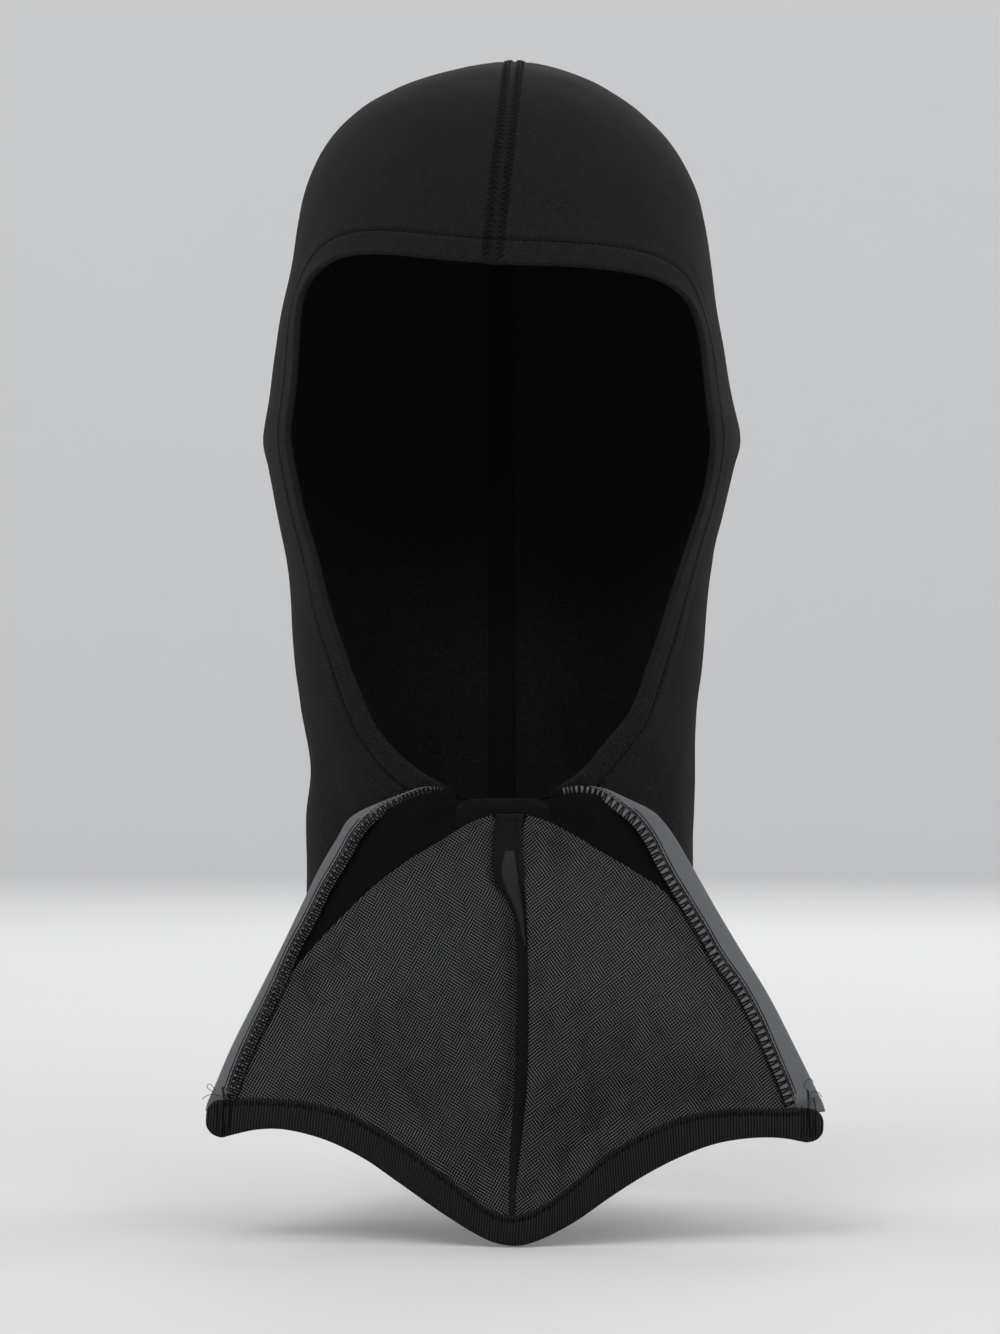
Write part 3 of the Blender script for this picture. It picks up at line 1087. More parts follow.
def overlock(side, label):
    """Seam allowance with its overlock threads: a raised edge crossed by thread rungs."""
    e = EDGE[side]
    c, inw, D = e["S"], e["inw"], e["D"]
    keep = slice(2, len(c) - 4)
    c, inw, D = c[keep], inw[keep], D[keep]
    tang = unit(np.gradient(c, axis=0))
    inw = np.stack([-tang[:, 1], tang[:, 0]], -1)
    inw *= np.sign((inw * e["inw"][keep]).sum(1))[:, None]
    # resample along the seam
    s = arcs(c)
    n = int(s[-1] / 0.8)
    ss = np.linspace(0, s[-1], n)

    def res(a):
        return np.stack([np.interp(ss, s, a[:, k]) for k in range(a.shape[1])], -1)
    c, inw, D = res(c), unit(res(inw)), np.interp(ss, s, D)
    half = 1.75 + 0.12 * lattice_noise(np.stack([c[:, 0], 0 * ss, c[:, 1]], -1), 6.0, 31)
    high = 0.95 + 0.12 * lattice_noise(np.stack([c[:, 0], 0 * ss, c[:, 1]], -1), 4.0, 32)
    taper = np.clip(np.minimum(ss, s[-1] - ss) / 3.0, 0.3, 1)
    high = high * taper
    fi = np.linspace(0, 2 * math.pi, 18, endpoint=False)
    rows = []
    for i in range(n):
        a = np.sign(np.cos(fi)) * np.abs(np.cos(fi)) ** 0.8 * half[i]
        b = np.sin(fi)
        b = np.where(b > 0, np.abs(b) ** 0.8 * high[i], b * 0.8)
        x = c[i, 0] + inw[i, 0] * a
        z = c[i, 1] + inw[i, 1] * a
        rows.append(on_mask(x, z, D[i] - 0.35 + b))
    rows = np.array(rows)
    uv = np.stack(np.meshgrid(ss, np.linspace(0, 8, len(fi)), indexing="ij"), -1)
    ob = fix_normals(loop_sheet("seam_allowance_" + label, rows, M_GREY, uv))
    dark_where(ob, lambda c, n: abs(c[0]) < 21.5 and c[2] > -135, M_YOKE)
    finish_piece(ob, "mask", "grey_shell")

    def surf(i_s, a, up=0.0):
        """Point over the allowance at arc i_s and sideways offset a."""
        x0 = np.interp(i_s, ss, c[:, 0])
        z0 = np.interp(i_s, ss, c[:, 1])
        ix, iz = np.interp(i_s, ss, inw[:, 0]), np.interp(i_s, ss, inw[:, 1])
        hh, hi, dd = np.interp(i_s, ss, half), np.interp(i_s, ss, high), np.interp(i_s, ss, D)
        q = np.clip(1 - np.abs(a / hh) ** 2.5, 0, 1) ** 0.4
        x, z = x0 + ix * a, z0 + iz * a
        return on_mask(x, z, dd - 0.35 + hi * q + up)
    paths = []
    pos = 0.8
    k = 0
    gapset = (0.85, 1.70) if side > 0 else (0.95, 1.15)
    while pos < ss[-1] - 1.0:
        slant = (0.35 if k % 2 else -0.25) + 0.25 * (RNG.random() - 0.5)
        aa = np.linspace(-1.72, 1.72, 9)
        ps = pos + slant * aa / 3.4
        paths.append(surf(ps, aa, 0.20 + 0.05 * RNG.random()))
        close = 0.55 if pos < 9 else 0.72 if pos < 20 else 1.0
        pos += close * gapset[k % 2] * (0.9 + 0.2 * RNG.random())
        k += 1
    rung = tubes("overlock_rungs_" + label, paths, 0.29, M_THREAD)
    finish_piece(rung, "mask", "black_thread", "overlock_stitching_" + label)
    # edge loops on the inner side, needle thread on the outer side
    m = int((ss[-1] - 2) / 0.42)
    t = np.linspace(0.8, ss[-1] - 1.0, m)
    wob = 0.28 * np.sin(t * 2 * math.pi / 1.25) + 0.10 * np.array([RNG.random() - 0.5 for _ in t])
    loops = [surf(t, 1.62 + wob, 0.05)]
    t2 = np.linspace(0.8, ss[-1] - 1.0, m)
    loops.append(surf(t2, -1.62 + 0.2 * np.sin(t2 * 2 * math.pi / 1.25 + 1.2), 0.05))
    if side < 0:
        loops.append(surf(t2, 0.55 + 0.3 * np.sin(t2 * 2 * math.pi / 1.7), 0.2))
        loops.append(surf(t2, -0.55 + 0.3 * np.sin(t2 * 2 * math.pi / 1.7 + 2), 0.2))
    lp = tubes("overlock_loops_" + label, loops, 0.19, M_THREAD)
    finish_piece(lp, "mask", "black_thread")
    # topstitch along the inner edge of the folded strip and a needle line on the lining side
    P, N = [], []
    for i_s in np.linspace(3.0, ss[-1] - 1.0, 200):
        P.append(surf(np.array([i_s]), np.array([-2.45]), 0.33)[0])
    P = np.array(P)
    N = np.tile([0.0, -1.0, 0.0], (len(P), 1))
    segs = dashes(P, N, 1.75, 1.2, wobble=0.15)
    Q = np.array([surf(np.array([i_s]), np.array([2.35]), 0.12)[0] for i_s in np.linspace(3.0, ss[-1] - 1.0, 200)])
    segs += dashes(Q, N, 1.9, 1.3, wobble=0.2)
    st = stitches("side_needle_line_" + label, segs, 0.16, M_THREAD)
    # two fine rows where the strip is turned and sewn down
    reach = np.interp(ss, s, e["limit"][keep])
    rows2 = []
    for back, rad in ((-2.25, 0.2), (-3.3, 0.2)):
        run = [i for i in range(3, n - 4) if reach[i] > -back + 0.6]
        if len(run) > 12:
            t3 = ss[run[0]:run[-1]]
            rows2.append(surf(t3, np.full(len(t3), back), 0.40))
    fold = tubes("strip_seam_rows_" + label, rows2, 0.17, M_THREAD)
    finish_piece(fold, "mask", "black_thread")
    finish_piece(st, "mask", "black_thread")


overlock(-1, "left")
overlock(1, "right")


def outer_rows():
    """Stitch rows that show on the mask's outer face: two beside its centre seam and one inside each edge."""
    segs = []
    z = np.linspace(-137.0, -262.0, 240)
    for x in (CENTRE - 1.9, CENTRE + 1.9):
        P = on_mask(np.full(len(z), x), z, np.full(len(z), -0.55))
        segs += dashes(P, np.tile([0.0, 1.0, 0.0], (len(P), 1)), 2.1, 1.5, wobble=0.15)
    for side in (-1, 1):
        e = EDGE[side]
        c = e["E"] + e["inw"] * np.maximum(e["limit"] - 0.6, 2.2)[:, None]
        q = np.stack([c[:, 0], 0 * c[:, 0], c[:, 1]], -1)
        keep = slice(12, len(c) - 12)
        P = on_mask(c[:, 0], c[:, 1], -0.5 - 0.0 * q[:, 1])[keep]
        segs += dashes(P, np.tile([0.0, 1.0, 0.0], (len(P), 1)), 2.1, 1.5, wobble=0.15)
    st = stitches("outer_topstitch", segs, 0.2, M_THREAD)
    finish_piece(st, "mask", "black_thread")


outer_rows()

# ------------------------------------------------------------------ yoke behind the lining's arch
ARCH_L = [(3.5, -136.0), (-3.2, -137.1), (-13.2, -141.0), (-23.2, -147.2), (-34.3, -153.9), (-44.3, -161.4),
          (-54.4, -170.5), (-64.3, -180.5), (-74.3, -192.2), (-82.0, -204.5), (-89.7, -220.2), (-94.6, -237.5)]
ARCH_R = [(3.5, -136.0), (8.9, -137.0), (16.8, -140.3), (26.1, -145.4), (36.1, -151.0), (46.1, -156.9),
          (56.0, -163.4), (62.0, -169.5), (70.5, -180.0), (76.8, -190.5), (83.9, -200.5), (90.2, -212.0),
          (95.3, -225.0), (99.8, -241.0)]


def yoke_half(name, side, top, low):
    v = np.linspace(0, 1, 60)
    u = np.linspace(0, 1, 16)
    A, B = curve_at(top, v), curve_at(low, v)
    p = A[:, None] * (1 - u)[None, :, None] + B[:, None] * u[None, :, None]
    x, z = p[..., 0], p[..., 1]
    q = np.stack([x, 0 * x, z], -1)
    d = 1.15 + 0.55 * (lattice_noise(q, 11.0, 41) + 1) * np.sin(math.pi * np.clip(u, 0, 1))[None]
    d = d + crease(x, z, [(side * 26 + 2, -130), (side * 33 + 2, -142), (side * 30 + 2, -150)], 3.0, 0.9)
    d = d + crease(x, z, [(side * 14, -134), (side * 22, -139), (side * 34, -143)], 2.2, -0.7)
    O, I = on_mask(x, z, d + 0.6), on_mask(x, z, d)
    ob = fix_normals(slab(name, O, I, M_YOKE, np.stack([x, z], -1)))
    return finish_piece(ob, "mask", "yoke_fabric", "mask_yoke_left" if side < 0 else "mask_yoke_right")


yoke_half("yoke_piece_left", -1,
          [(CENTRE - 0.1, -133.2), (-8, -132.6), (-15.5, -131.2), (-24.0, -128.9), (-37.7, -133.0), (-45.3, -137.5),
           (-51.5, -144.0), (-57.1, -154.0), (-62.4, -162.9), (-67.8, -173.9), (-74.0, -185.5), (-77.5, -193.0)],
          [(CENTRE - 0.1, -143.0), (-13.2, -147.0), (-23.2, -153.2), (-34.3, -159.9), (-44.3, -167.4),
           (-54.4, -176.5), (-64.3, -186.5), (-74.3, -197.2)])
yoke_half("yoke_piece_right", 1,
          [(CENTRE + 0.1, -133.2), (9, -132.6), (16.0, -131.2), (28.5, -128.9), (35.8, -130.5), (41.2, -134.3),
           (46.9, -138.6), (52.4, -145.8), (57.7, -156.3), (63.3, -165.7), (70.5, -177.4), (75.0, -185.0)],
          [(CENTRE + 0.1, -143.0), (16.8, -146.3), (26.1, -151.4), (36.1, -157.0), (46.1, -162.9),
           (56.0, -169.4), (62.0, -175.5), (70.5, -186.5)])

# ------------------------------------------------------------------ mesh lining
VALLEY_L = [(-2.6, -138.3), (-3.9, -152.7), (-2.5, -159.5), (1.6, -166.0), (4.6, -173.0), (5.6, -186.0),
            (5.6, -205.0), (5.2, -225.0), (4.0, -240.8), (2.9, -255.0), (2.6, -266.0), (2.4, -278.6)]
VALLEY_R = [(8.2, -138.8), (7.6, -149.5), (9.2, -161.5), (10.0, -173.0), (10.4, -187.7), (10.6, -205.0), (10.5, -218.0),
            (10.0, -232.0), (8.6, -246.0), (7.2, -258.6), (5.9, -270.0), (5.2, -278.6)]


def lining_depth(x, z, side):
    q = np.stack([x, 0 * x, z], -1)
    d = 2.0 + cup(x, z) * 1.0
    d = d + 0.45 * lattice_noise(q, 24.0, 51 + side) * sstep(-140, -160, z)
    d = d + 0.10 * lattice_noise(q, 7.0, 53)
    if side > 0:
        d = d + crease(x, z, [(14, -147), (24, -158), (40, -168), (52, -172)], 4.0, -0.9)
        d = d + crease(x, z, [(19, -160), (20, -190), (22, -225), (17, -250)], 7.0, 1.0)
        d = d + crease(x, z, [(46, -226), (40, -236), (32, -248), (26, -262)], 4.5, -1.5)
        d = d + crease(x, z, [(78, -196), (62, -214), (50, -222)], 6.0, -0.7)
    else:
        d = d + crease(x, z, [(-6, -150), (-7, -170), (-8, -190), (-6, -210)], 6.0, 0.9)
        d = d + crease(x, z, [(-80, -222), (-58, -222), (-34, -212), (-18, -214)], 8.0, -0.8)
        d = d + crease(x, z, [(-16, -228), (-24, -240), (-32, -247)], 6.0, -0.9)
        d = d + crease(x, z, [(-60, -196), (-46, -206), (-36, -222)], 7.0, 0.7)
    return d


LINING = {}


def lining_half(name, side, arch, valley, low):
    inner = [(valley[0][0], valley[0][1])] + valley[1:]
    nv, nu = 170, 74
    v = np.linspace(0, 1, nv)
    t = np.linspace(0, 1, nu)
    u = t + 0.10 * np.sin(2 * math.pi * t) / (2 * math.pi) * -1
    start = arch[1]
    lowc = [(valley[-1][0], valley[-1][1])] + low[1:-1] + [arch[-1]]
    patch = coons([inner[0], start], lowc, inner, arch[1:], u, v)
    x, z = patch[..., 0], patch[..., 1]
    d = lining_depth(x, z, side)
    # distance from the arch and the valley, in millimetres
    E, C = patch[:, -1:], patch[:, :1]
    e = np.linalg.norm(patch - E, axis=2)
    g = np.linalg.norm(patch - C, axis=2)
    lip = 2.0 * (1 - sstep(0.62, 0.95, v))[:, None] + 0.6
    d = d - lip * (1 - np.clip(e / 4.2, 0, 1)) ** 2.2 + 0.9 * bump(e, 3.6, 3.0) * (1 - sstep(0.6, 0.9, v))[:, None]
    d = np.maximum(d, 1.9)
    zc = C[..., 1]
    deep = sstep(-148, -172, zc) * (1 - 0.7 * sstep(-262, -277, zc))
    if side < 0:
        d = d - (4.6 * deep + 0.4) * np.exp(-(g / 3.6) ** 2) - 0.9 * deep * np.exp(-(g / 9.0) ** 2)
    else:
        d = d + 0.9 * deep * np.exp(-(g / 7.0) ** 2)
    d = np.maximum(d, 1.95)
    th = 0.55
    front = on_mask(x, z, d + th)
    back = on_mask(x, z, d)
    cols_f, cols_b = [front[:, j] for j in range(nu)], [back[:, j] for j in range(nu)]
    # the edge at the arch turns under
    w = unit(patch[:, -1] - patch[:, -2])
    r = 0.95
    d1 = d[:, -1]
    for b in np.linspace(0, math.pi * 0.75, 7)[1:]:
        for cols, rr in ((cols_f, r + th / 2), (cols_b, r - th / 2)):
            xx = patch[:, -1, 0] + w[:, 0] * rr * math.sin(b)
            zz = patch[:, -1, 1] + w[:, 1] * rr * math.sin(b)
            cols.append(on_mask(xx, zz, np.maximum(d1 + th / 2 - r + rr * math.cos(b), 1.2)))
    # the edge at the valley turns down
    w = unit(patch[:, 0] - patch[:, 1])
    d0 = d[:, 0]
    pre_f, pre_b = [], []
    if side > 0:
        r = 1.15
        for b in np.linspace(0, math.pi * 0.92, 9)[1:]:
            for cols, rr in ((pre_f, r + th / 2), (pre_b, r - th / 2)):
                xx = patch[:, 0, 0] + w[:, 0] * rr * math.sin(b)
                zz = patch[:, 0, 1] + w[:, 1] * rr * math.sin(b)
                cols.append(on_mask(xx, zz, np.maximum(d0 + th / 2 - r + rr * math.cos(b), 1.3)))
    else:
        for k in range(1, 5):
            xx = patch[:, 0, 0] + w[:, 0] * 0.7 * k
            zz = patch[:, 0, 1] + w[:, 1] * 0.7 * k
            pre_f.append(on_mask(xx, zz, np.maximum(d0 + th - 0.25 * k * deep[:, 0], 1.9)))
            pre_b.append(on_mask(xx, zz, np.maximum(d0 - 0.25 * k * deep[:, 0], 1.35)))
    F = np.array(pre_f[::-1] + cols_f).transpose(1, 0, 2)
    B = np.array(pre_b[::-1] + cols_b).transpose(1, 0, 2)
    a = math.radians(9 if side > 0 else -14)
    ux, uz = F[..., 0], F[..., 2]
    uv = np.stack([ux * math.cos(a) - uz * math.sin(a), ux * math.sin(a) + uz * math.cos(a)], -1)
    ob = fix_normals(slab(name, F, B, M_MESH, uv))
    LINING[side] = dict(C=patch[:, 0], d=d0, v=v)
    return finish_piece(ob, "mask", "mesh_lining", "mask_lining_left" if side < 0 else "mask_lining_right")


lining_half("mesh_half_left", -1, ARCH_L, VALLEY_L, LOW_L)
lining_half("mesh_half_right", 1, ARCH_R, VALLEY_R, LOW_R)


def valley_tape():
    zs = np.concatenate([np.linspace(-136.4, -172, 34), np.linspace(-174, -277, 60)])
    L = np.array(VALLEY_L)
    R = np.array(VALLEY_R)
    xl = np.interp(-zs, -L[:, 1], L[:, 0]) - 0.2
    low_part = sstep(-166, -174, zs)
    xr = np.interp(-zs, -R[:, 1], R[:, 0]) + 0.9 * low_part - 0.5 * (1 - low_part)
    wide = sstep(-158, -140, zs)
    xl = xl * (1 - wide) + (-2.9 + 0.6 * np.sin((zs + 140) * 0.25)) * wide
    xr = xr * (1 - wide) + (7.4 + 0.3 * np.sin((zs + 140) * 0.4)) * wide
    n = 11
    t = np.linspace(0, 1, n)
    x = xl[:, None] * (1 - t) + xr[:, None] * t
    z = np.repeat(zs[:, None], n, 1)
    deep = sstep(-150, -172, z) * (1 - 0.7 * sstep(-262, -277, z))
    dl = lining_depth(x, z, -1) + 0.9
    d = dl - (4.9 * deep + 0.0) + 0.5 * (1 - deep) + 0.35 * crease(x, z, [(-3, -150), (3, -152.5), (8, -151)], 1.4, 1.0)
    d = d + 0.5 * np.exp(-((t - 0.02) / 0.06) ** 2)[None] * (1 - deep) + 0.3 * np.exp(-((t - 0.93) / 0.08) ** 2)[None] * (1 - deep)
    d = d + 0.15 * lattice_noise(np.stack([x, 0 * x, z], -1), 3.5, 61)
    d = np.maximum(d, 2.05)
    O, I = on_mask(x, z, d + 0.55), on_mask(x, z, np.maximum(d - 0.1 - 1.2 * (1 - deep), 1.9))
    ob = fix_normals(slab("valley_tape", O, I, M_TAPE, np.stack([x, z], -1)))
    finish_piece(ob, "mask", "seam_tape", "mask_centre_tape")
    segs = []
    for f in (0.14, 0.80):
        j = int(round(f * (n - 1)))
        P = O[:36, j]
        N = np.tile([0.0, -1.0, 0.0], (len(P), 1))
        segs += dashes(P, N, 2.0, 1.4, wobble=0.2, lift=0.05)
    P = O[2, 1:-1]
    segs += dashes(P, np.tile([0.0, -1.0, 0.0], (len(P), 1)), 1.2, 0.9, lift=0.05)
    st = stitches("valley_tape_thread", segs, 0.16, M_THREAD)
    finish_piece(st, "mask", "black_thread")


valley_tape()


def turned_allowance():
    """The lining's folded edge that shows below the tape's short upper tab."""
    zs = np.linspace(-149.4, -183.0, 44)
    zk = [149.4, 153.0, 156.0, 161.0, 166.5, 170.0, 175.0, 183.0]
    xl = np.interp(-zs, zk, [1.2, 0.2, -0.4, 0.4, 3.0, 4.8, 6.3, 7.8])
    xr = np.interp(-zs, zk, [4.4, 4.9, 5.3, 6.0, 7.0, 7.6, 8.2, 8.9])
    for _ in range(3):
        xl[1:-1] = (xl[:-2] + 2 * xl[1:-1] + xl[2:]) / 4
        xr[1:-1] = (xr[:-2] + 2 * xr[1:-1] + xr[2:]) / 4
    n = 11
    t = np.linspace(0, 1, n)
    x = xl[:, None] * (1 - t) + xr[:, None] * t
    z = np.repeat(zs[:, None], n, 1)
    deep = sstep(-150, -172, z)
    d = lining_depth(x, z, -1) + 0.9 - 4.9 * deep + 0.5 * (1 - deep) + 0.75
    bulge = np.sqrt(np.clip(1 - (2 * t - 1) ** 2, 0, 1))[None]
    start = sstep(0, 3.0, -149.4 - z)
    d = np.maximum(d, 2.7) + 0.75 * bulge * start
    O, I = on_mask(x, z, d), on_mask(x, z, d - 0.5 - 0.9 * (1 - deep))
    ob = fix_normals(slab("lining_allowance", O, I, M_FOLD, np.stack([x, z], -1)))
    finish_piece(ob, "mask", "mesh_lining")


turned_allowance()


# ------------------------------------------------------------------ ribbed band along the lower edge
def rib_band():
    top = curve_at(BAND_TOP, np.linspace(0, 1, 900))
    low = curve_at(BAND_BOTTOM, np.linspace(0, 1, 900))
    mid = (top + low) / 2
    s = arcs(mid)
    n = int(s[-1] / 0.2)
    ss = np.linspace(0, s[-1], n)
    T = np.stack([np.interp(ss, s, top[:, k]) for k in range(2)], -1)
    B = np.stack([np.interp(ss, s, low[:, k]) for k in range(2)], -1)
    # rounded lobes at both ends
    stations = [(T[i], B[i], ss[i], 0.0) for i in range(n)]
    for first, rows in ((True, []), (False, [])):
        a, b = (T[0], B[0]) if first else (T[-1], B[-1])
        m = (a + b) / 2
        up = (a - b) / 2
        h = np.linalg.norm(up)
        up = up / h
        out = np.array([-up[1], up[0]])
        if (out[0] > 0) == first:
            out = -out
        reach = 6.4
        for k, ang in enumerate(np.linspace(0, math.pi / 2 * 0.93, 30)[1:]):
            c = m + out * reach * math.sin(ang)
            hh = h * math.cos(ang) ** 0.75
            sa = (-1 if first else 1) * reach * math.sin(ang)
            rows.append((c + up * hh, c - up * hh, (0 if first else s[-1]) + sa, 1.0))
        if first:
            stations = rows[::-1] + stations
        else:
            stations = stations + rows
    fi = np.concatenate([np.linspace(0, math.pi, 26), np.linspace(math.pi, 2 * math.pi, 14)[1:-1]])
    rows, uvs, front_line = [], [], []
    total = s[-1]
    for a, b, q, lobe in stations:
        h = np.linalg.norm(a - b) / 2
        m = (a + b) / 2
        up = unit(a - b)
        cz = np.cos(fi)  # +1 at the top edge
        sd = np.sin(fi)  # +1 in front
        pos = np.sign(cz) * np.abs(cz) ** 0.78 * h
        below = h - pos  # distance below the top edge
        endness = max(0.0, 1 - min(q + 6.4, total + 6.4 - q) / 13.0)
        squash = (h / 6.3) ** 0.5
        dep = np.where(sd > 0, np.abs(sd) ** 0.55 * 2.05, -np.abs(sd) ** 0.55 * 1.9) * squash
        front = sd > 0
        nz = lattice_noise(np.array([[q, 0, 0.0]]), 5.0, 71)[0]
        rib = 0.085 * math.sin(2 * math.pi * q / 0.8) * (1 - endness)
        gath = 0.0
        if endness > 0:
            gath = -0.62 * endness * (0.5 + 0.5 * math.cos(2 * math.pi * q / 1.7)) ** 2
        groove = -0.55 * bump(below, 2.3 + 0.25 * nz, 0.7) + 0.28 * bump(below, 1.0, 0.7) + 0.15 * bump(below, 4.2, 1.6)
        pucker = 0.22 * math.sin(2 * math.pi * q / 2.6 + 3 * nz) * bump(below, 3.0, 1.6)
        dep = dep + np.where(front, groove * (1 - 0.5 * lobe) + pucker * (1 - endness), 0) + np.sign(sd) * np.where(np.abs(sd) > 0.05, rib + gath, 0)
        soft = 0.25 * nz
        x = m[0] + up[0] * pos
        z = m[1] + up[1] * pos
        rows.append(on_mask(x, z, 1.75 + soft * 0.5 + dep))
        uvs.append(np.stack([np.full(len(fi), q), fi * h], -1))
    rows = np.array(rows)
    ob = fix_normals(loop_sheet("rib_hem", rows, M_RIB, np.array(uvs)))
    finish_piece(ob, "mask", "black_rib", "rim_band", "rim_elastic", "rim_bartack_left", "rim_bartack_right")
    # stitch row in the groove
    k0 = 29
    P = []
    for i, (a, b, q, lobe) in enumerate(stations):
        if 0 <= q <= total:
            h = np.linalg.norm(a - b) / 2
            m = (a + b) / 2
            up = unit(a - b)
            pos = h - 2.4 - 0.2 * math.sin(q * 0.9) - 0.15 * math.sin(q * 2.3)
            P.append(on_mask(np.array([m[0] + up[0] * pos]), np.array([m[1] + up[1] * pos]), np.array([3.35]))[0])
    P = np.array(P)
    N = np.tile([0.0, -1.0, 0.0], (len(P), 1))
    segs = dashes(P, N, 2.0, 1.45, wobble=0.35)
    upv = np.array([0, 0, 1.0])
    segs += [(p0 + upv * 0.1, p0 + upv * 1.3 + np.array([0.3, -0.1, 0]), np.array([0, -1.0, 0])) for p0, _, _ in segs[::1]]
    st = stitches("rib_hem_thread", segs, 0.17, M_THREAD)
    finish_piece(st, "mask", "black_thread", "rim_band_stitching")
    return stations


STATIONS = rib_band()


def bartack(label, x, z0, z1, lean):
    """Two slim rows of close zigzag across the end of the band and the strip above it."""
    segs = []
    for shift, w0, top, end in ((0.0, 0.42, z0, z1), (2.3, 0.34, z0 - 3.0, z1 + 1.0), (-2.2, 0.3, z0 - 6.0, z1 + 2.0)):
        z = top
        while z > end:
            xa = x + shift + lean * (z0 - z) + 0.25 * math.sin(z * 0.55 + shift)
            w = w0 + 0.12 * (RNG.random() - 0.5)
            d = 3.9 if z < -238.5 else 3.6
            a = on_mask(np.array([xa - w]), np.array([z]), np.array([d]))[0]
            b = on_mask(np.array([xa + w]), np.array([z - 0.3]), np.array([d]))[0]
            segs.append((a, b, np.array([0, -1.0, 0])))
            z -= 0.5
    st = stitches("bartack_" + label, segs, 0.17, M_THREAD)
    finish_piece(st, "mask", "black_thread")


bartack("left", -98.9, -232.8, -249.0, 0.02)
bartack("right", 108.4, -233.8, -250.6, 0.03)

tails = []
for pts in ([(-101.5, -234.0), (-103.8, -231.8), (-104.6, -232.9), (-102.6, -234.6)],
            [(-99.0, -236.2), (-102.0, -235.4), (-105.0, -236.1), (-106.3, -237.3)],
            [(107.0, -233.5), (107.6, -231.2), (109.4, -230.2), (110.6, -231.4)],
            [(108.5, -236.0), (110.2, -234.6), (112.2, -235.0), (113.5, -236.6)]):
    c = smooth_curve(pts, 24)
    tails.append(on_mask(c[:, 0], c[:, 1], 4.0 + 0.5 * np.sin(np.linspace(0, 3.1, 24))))
ob = tubes("thread_tails", tails, 0.11, M_THREAD)
finish_piece(ob, "mask", "black_thread")


# ------------------------------------------------------------------ folded joining strip between hood and mask
def joining_strip():
    u = np.linspace(-1, 1, 49)
    # path in the y-z plane: up the hood's front, over, and down the mask's inner face
    path = []
    path += [(-63.6, -143.0), (-63.9, -140.0), (-64.2, -137.2), (-64.6, -134.9)]
    path += [(-65.3, -133.2), (-66.6, -132.0), (-68.2, -131.6), (-69.9, -131.8), (-71.0, -132.9)]
    path += [(-71.4, -134.4), (-71.3, -136.2), (-71.2, -138.4), (-71.4, -141.0)]
    c = even_curve(path, 64)
    tang = unit(np.gradient(c, axis=0))
    nor = np.stack([tang[:, 1], -tang[:, 0]], -1)
    s = arcs(c)
    half = 15.2 + 2.2 * sstep(0.35, 1.0, s / s[-1])
    O, I = [], []
    for i in range(len(c)):
        x = 0.2 + u * half[i]
        lip = 0.10 * math.sin(2 * math.pi * s[i] / 0.95)
        curve = (0.0052 - 0.0012 * sstep(0.5, 0.8, s[i] / s[-1])) * x ** 2
        yy = c[i, 0] + curve * (1.0 if True else 0)
        # the strip's ends tuck down under the hem
        drop = 1.6 * np.abs(u) ** 6
        O.append(np.stack([x, yy + nor[i, 0] * (0.55 + lip), c[i, 1] - drop + nor[i, 1] * (0.55 + lip)], -1))
        I.append(np.stack([x, yy - nor[i, 0] * 0.45, c[i, 1] - drop - nor[i, 1] * 0.45], -1))
    O, I = np.array(O), np.array(I)
    uv = np.stack(np.meshgrid(s, u * 16, indexing="ij"), -1)
    ob = fix_normals(slab("joining_fold", O, I, M_JOIN, uv))
    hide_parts("mask_joining_band")
    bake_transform(ob)
    return ob


joining_strip()


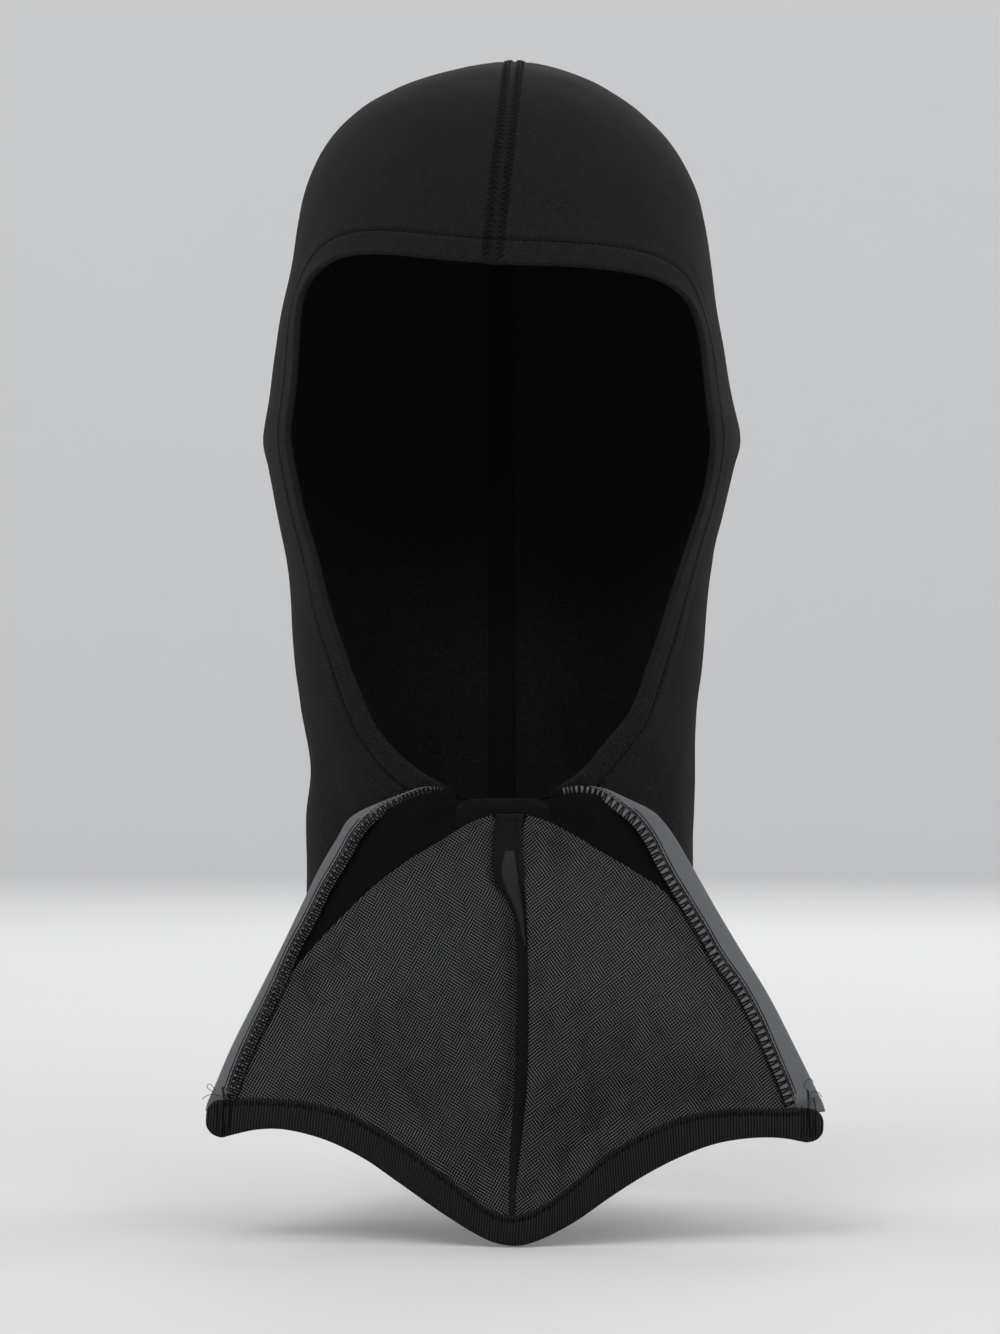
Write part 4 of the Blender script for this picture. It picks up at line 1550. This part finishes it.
# ------------------------------------------------------------------ floor, light and camera
def plain_floor():
    """A pale floor that sweeps up into a wall all round, far outside every camera."""
    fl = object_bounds()[0][2] - 0.0005
    prof = [(0.001, 0.0), (0.4, 0.0), (1.0, 0.0), (2.0, 0.0), (3.4, 0.0)]
    for a in np.linspace(0, math.pi / 2, 16)[1:]:
        prof.append((3.4 + 3.0 * math.sin(a), 3.0 - 3.0 * math.cos(a)))
    prof.append((6.4, 5.2))
    n = 96
    verts, faces = [], []
    for r, z in prof:
        for k in range(n):
            a = 2 * math.pi * k / n
            verts.append((r * math.cos(a), r * math.sin(a), z + fl))
    faces = quads(len(prof), n, wrap_n=True, flip=True)
    faces.append(tuple(range(n)))
    me = bpy.data.meshes.new("floor")
    me.from_pydata(verts, [], faces)
    me.polygons.foreach_set("use_smooth", [True] * len(me.polygons))
    m, nt, bsdf = mat_nodes("pale_paper")
    nz = noise(nt, object_coords(nt), 3.0, 4)
    far = node(nt, "ShaderNodeVectorMath")
    far.operation = "LENGTH"
    nt.links.new(object_coords(nt), far.inputs[0])
    tone = math_node(nt, "MULTIPLY_ADD", far.outputs["Value"], 1 / 6.0, -0.1, clamp=True)
    tone = math_node(nt, "ADD", tone, math_node(nt, "MULTIPLY_ADD", nz, 0.06, -0.03), clamp=True)
    nt.links.new(ramp(nt, tone, [(0, (0.60, 0.60, 0.595)), (1, (0.93, 0.93, 0.925))]), bsdf.inputs["Base Color"])
    bsdf.inputs["Roughness"].default_value = 0.85
    bsdf.inputs["Specular IOR Level"].default_value = 0.2
    me.materials.append(m)
    ob = bpy.data.objects.new("floor", me)
    bpy.context.scene.collection.objects.link(ob)
    return ob


def area(name, loc, target, size, power, colour=(1, 1, 1)):
    li = bpy.data.lights.new(name, "AREA")
    li.shape = "RECTANGLE"
    li.size, li.size_y = size
    li.energy = power
    li.color = colour
    ob = bpy.data.objects.new(name, li)
    ob.location = loc
    d = Vector(target) - Vector(loc)
    ob.rotation_euler = d.to_track_quat("-Z", "Y").to_euler()
    bpy.context.scene.collection.objects.link(ob)
    return ob


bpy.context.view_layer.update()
floor = plain_floor()
area("key", (-0.9, -2.2, 2.2), (0, 0, -0.05), (1.4, 1.4), 34)
area("fill", (1.2, -2.2, 1.6), (0, 0, -0.08), (1.4, 1.4), 15)
area("side_left", (-2.0, 0.9, 0.9), (0, 0, 0), (1.2, 1.6), 10.5)
area("side_right", (2.0, 0.8, 1.0), (0, 0, 0), (1.2, 1.6), 12.5)
area("back", (0.3, 2.4, 1.3), (0, 0, 0), (1.5, 1.2), 16)
area("top", (0, -0.3, 2.3), (0, 0, 0), (1.6, 1.6), 9)
world = bpy.data.worlds.new("studio")
world.use_nodes = True
world.node_tree.nodes["Background"].inputs[0].default_value = (0.86, 0.87, 0.9, 1)
world.node_tree.nodes["Background"].inputs[1].default_value = 0.72
bpy.context.scene.world = world
bpy.context.scene.view_settings.view_transform = "Standard"

cam = bpy.data.cameras.new("camera")
cam.lens = 145.9
cam.sensor_width = 36
cam.clip_start, cam.clip_end = 0.05, 30
camera = bpy.data.objects.new("camera", cam)
camera.location = (-0.00074, -2.0, -0.084)
camera.rotation_euler = (math.pi / 2, 0, 0)
bpy.context.scene.collection.objects.link(camera)
bpy.context.scene.camera = camera
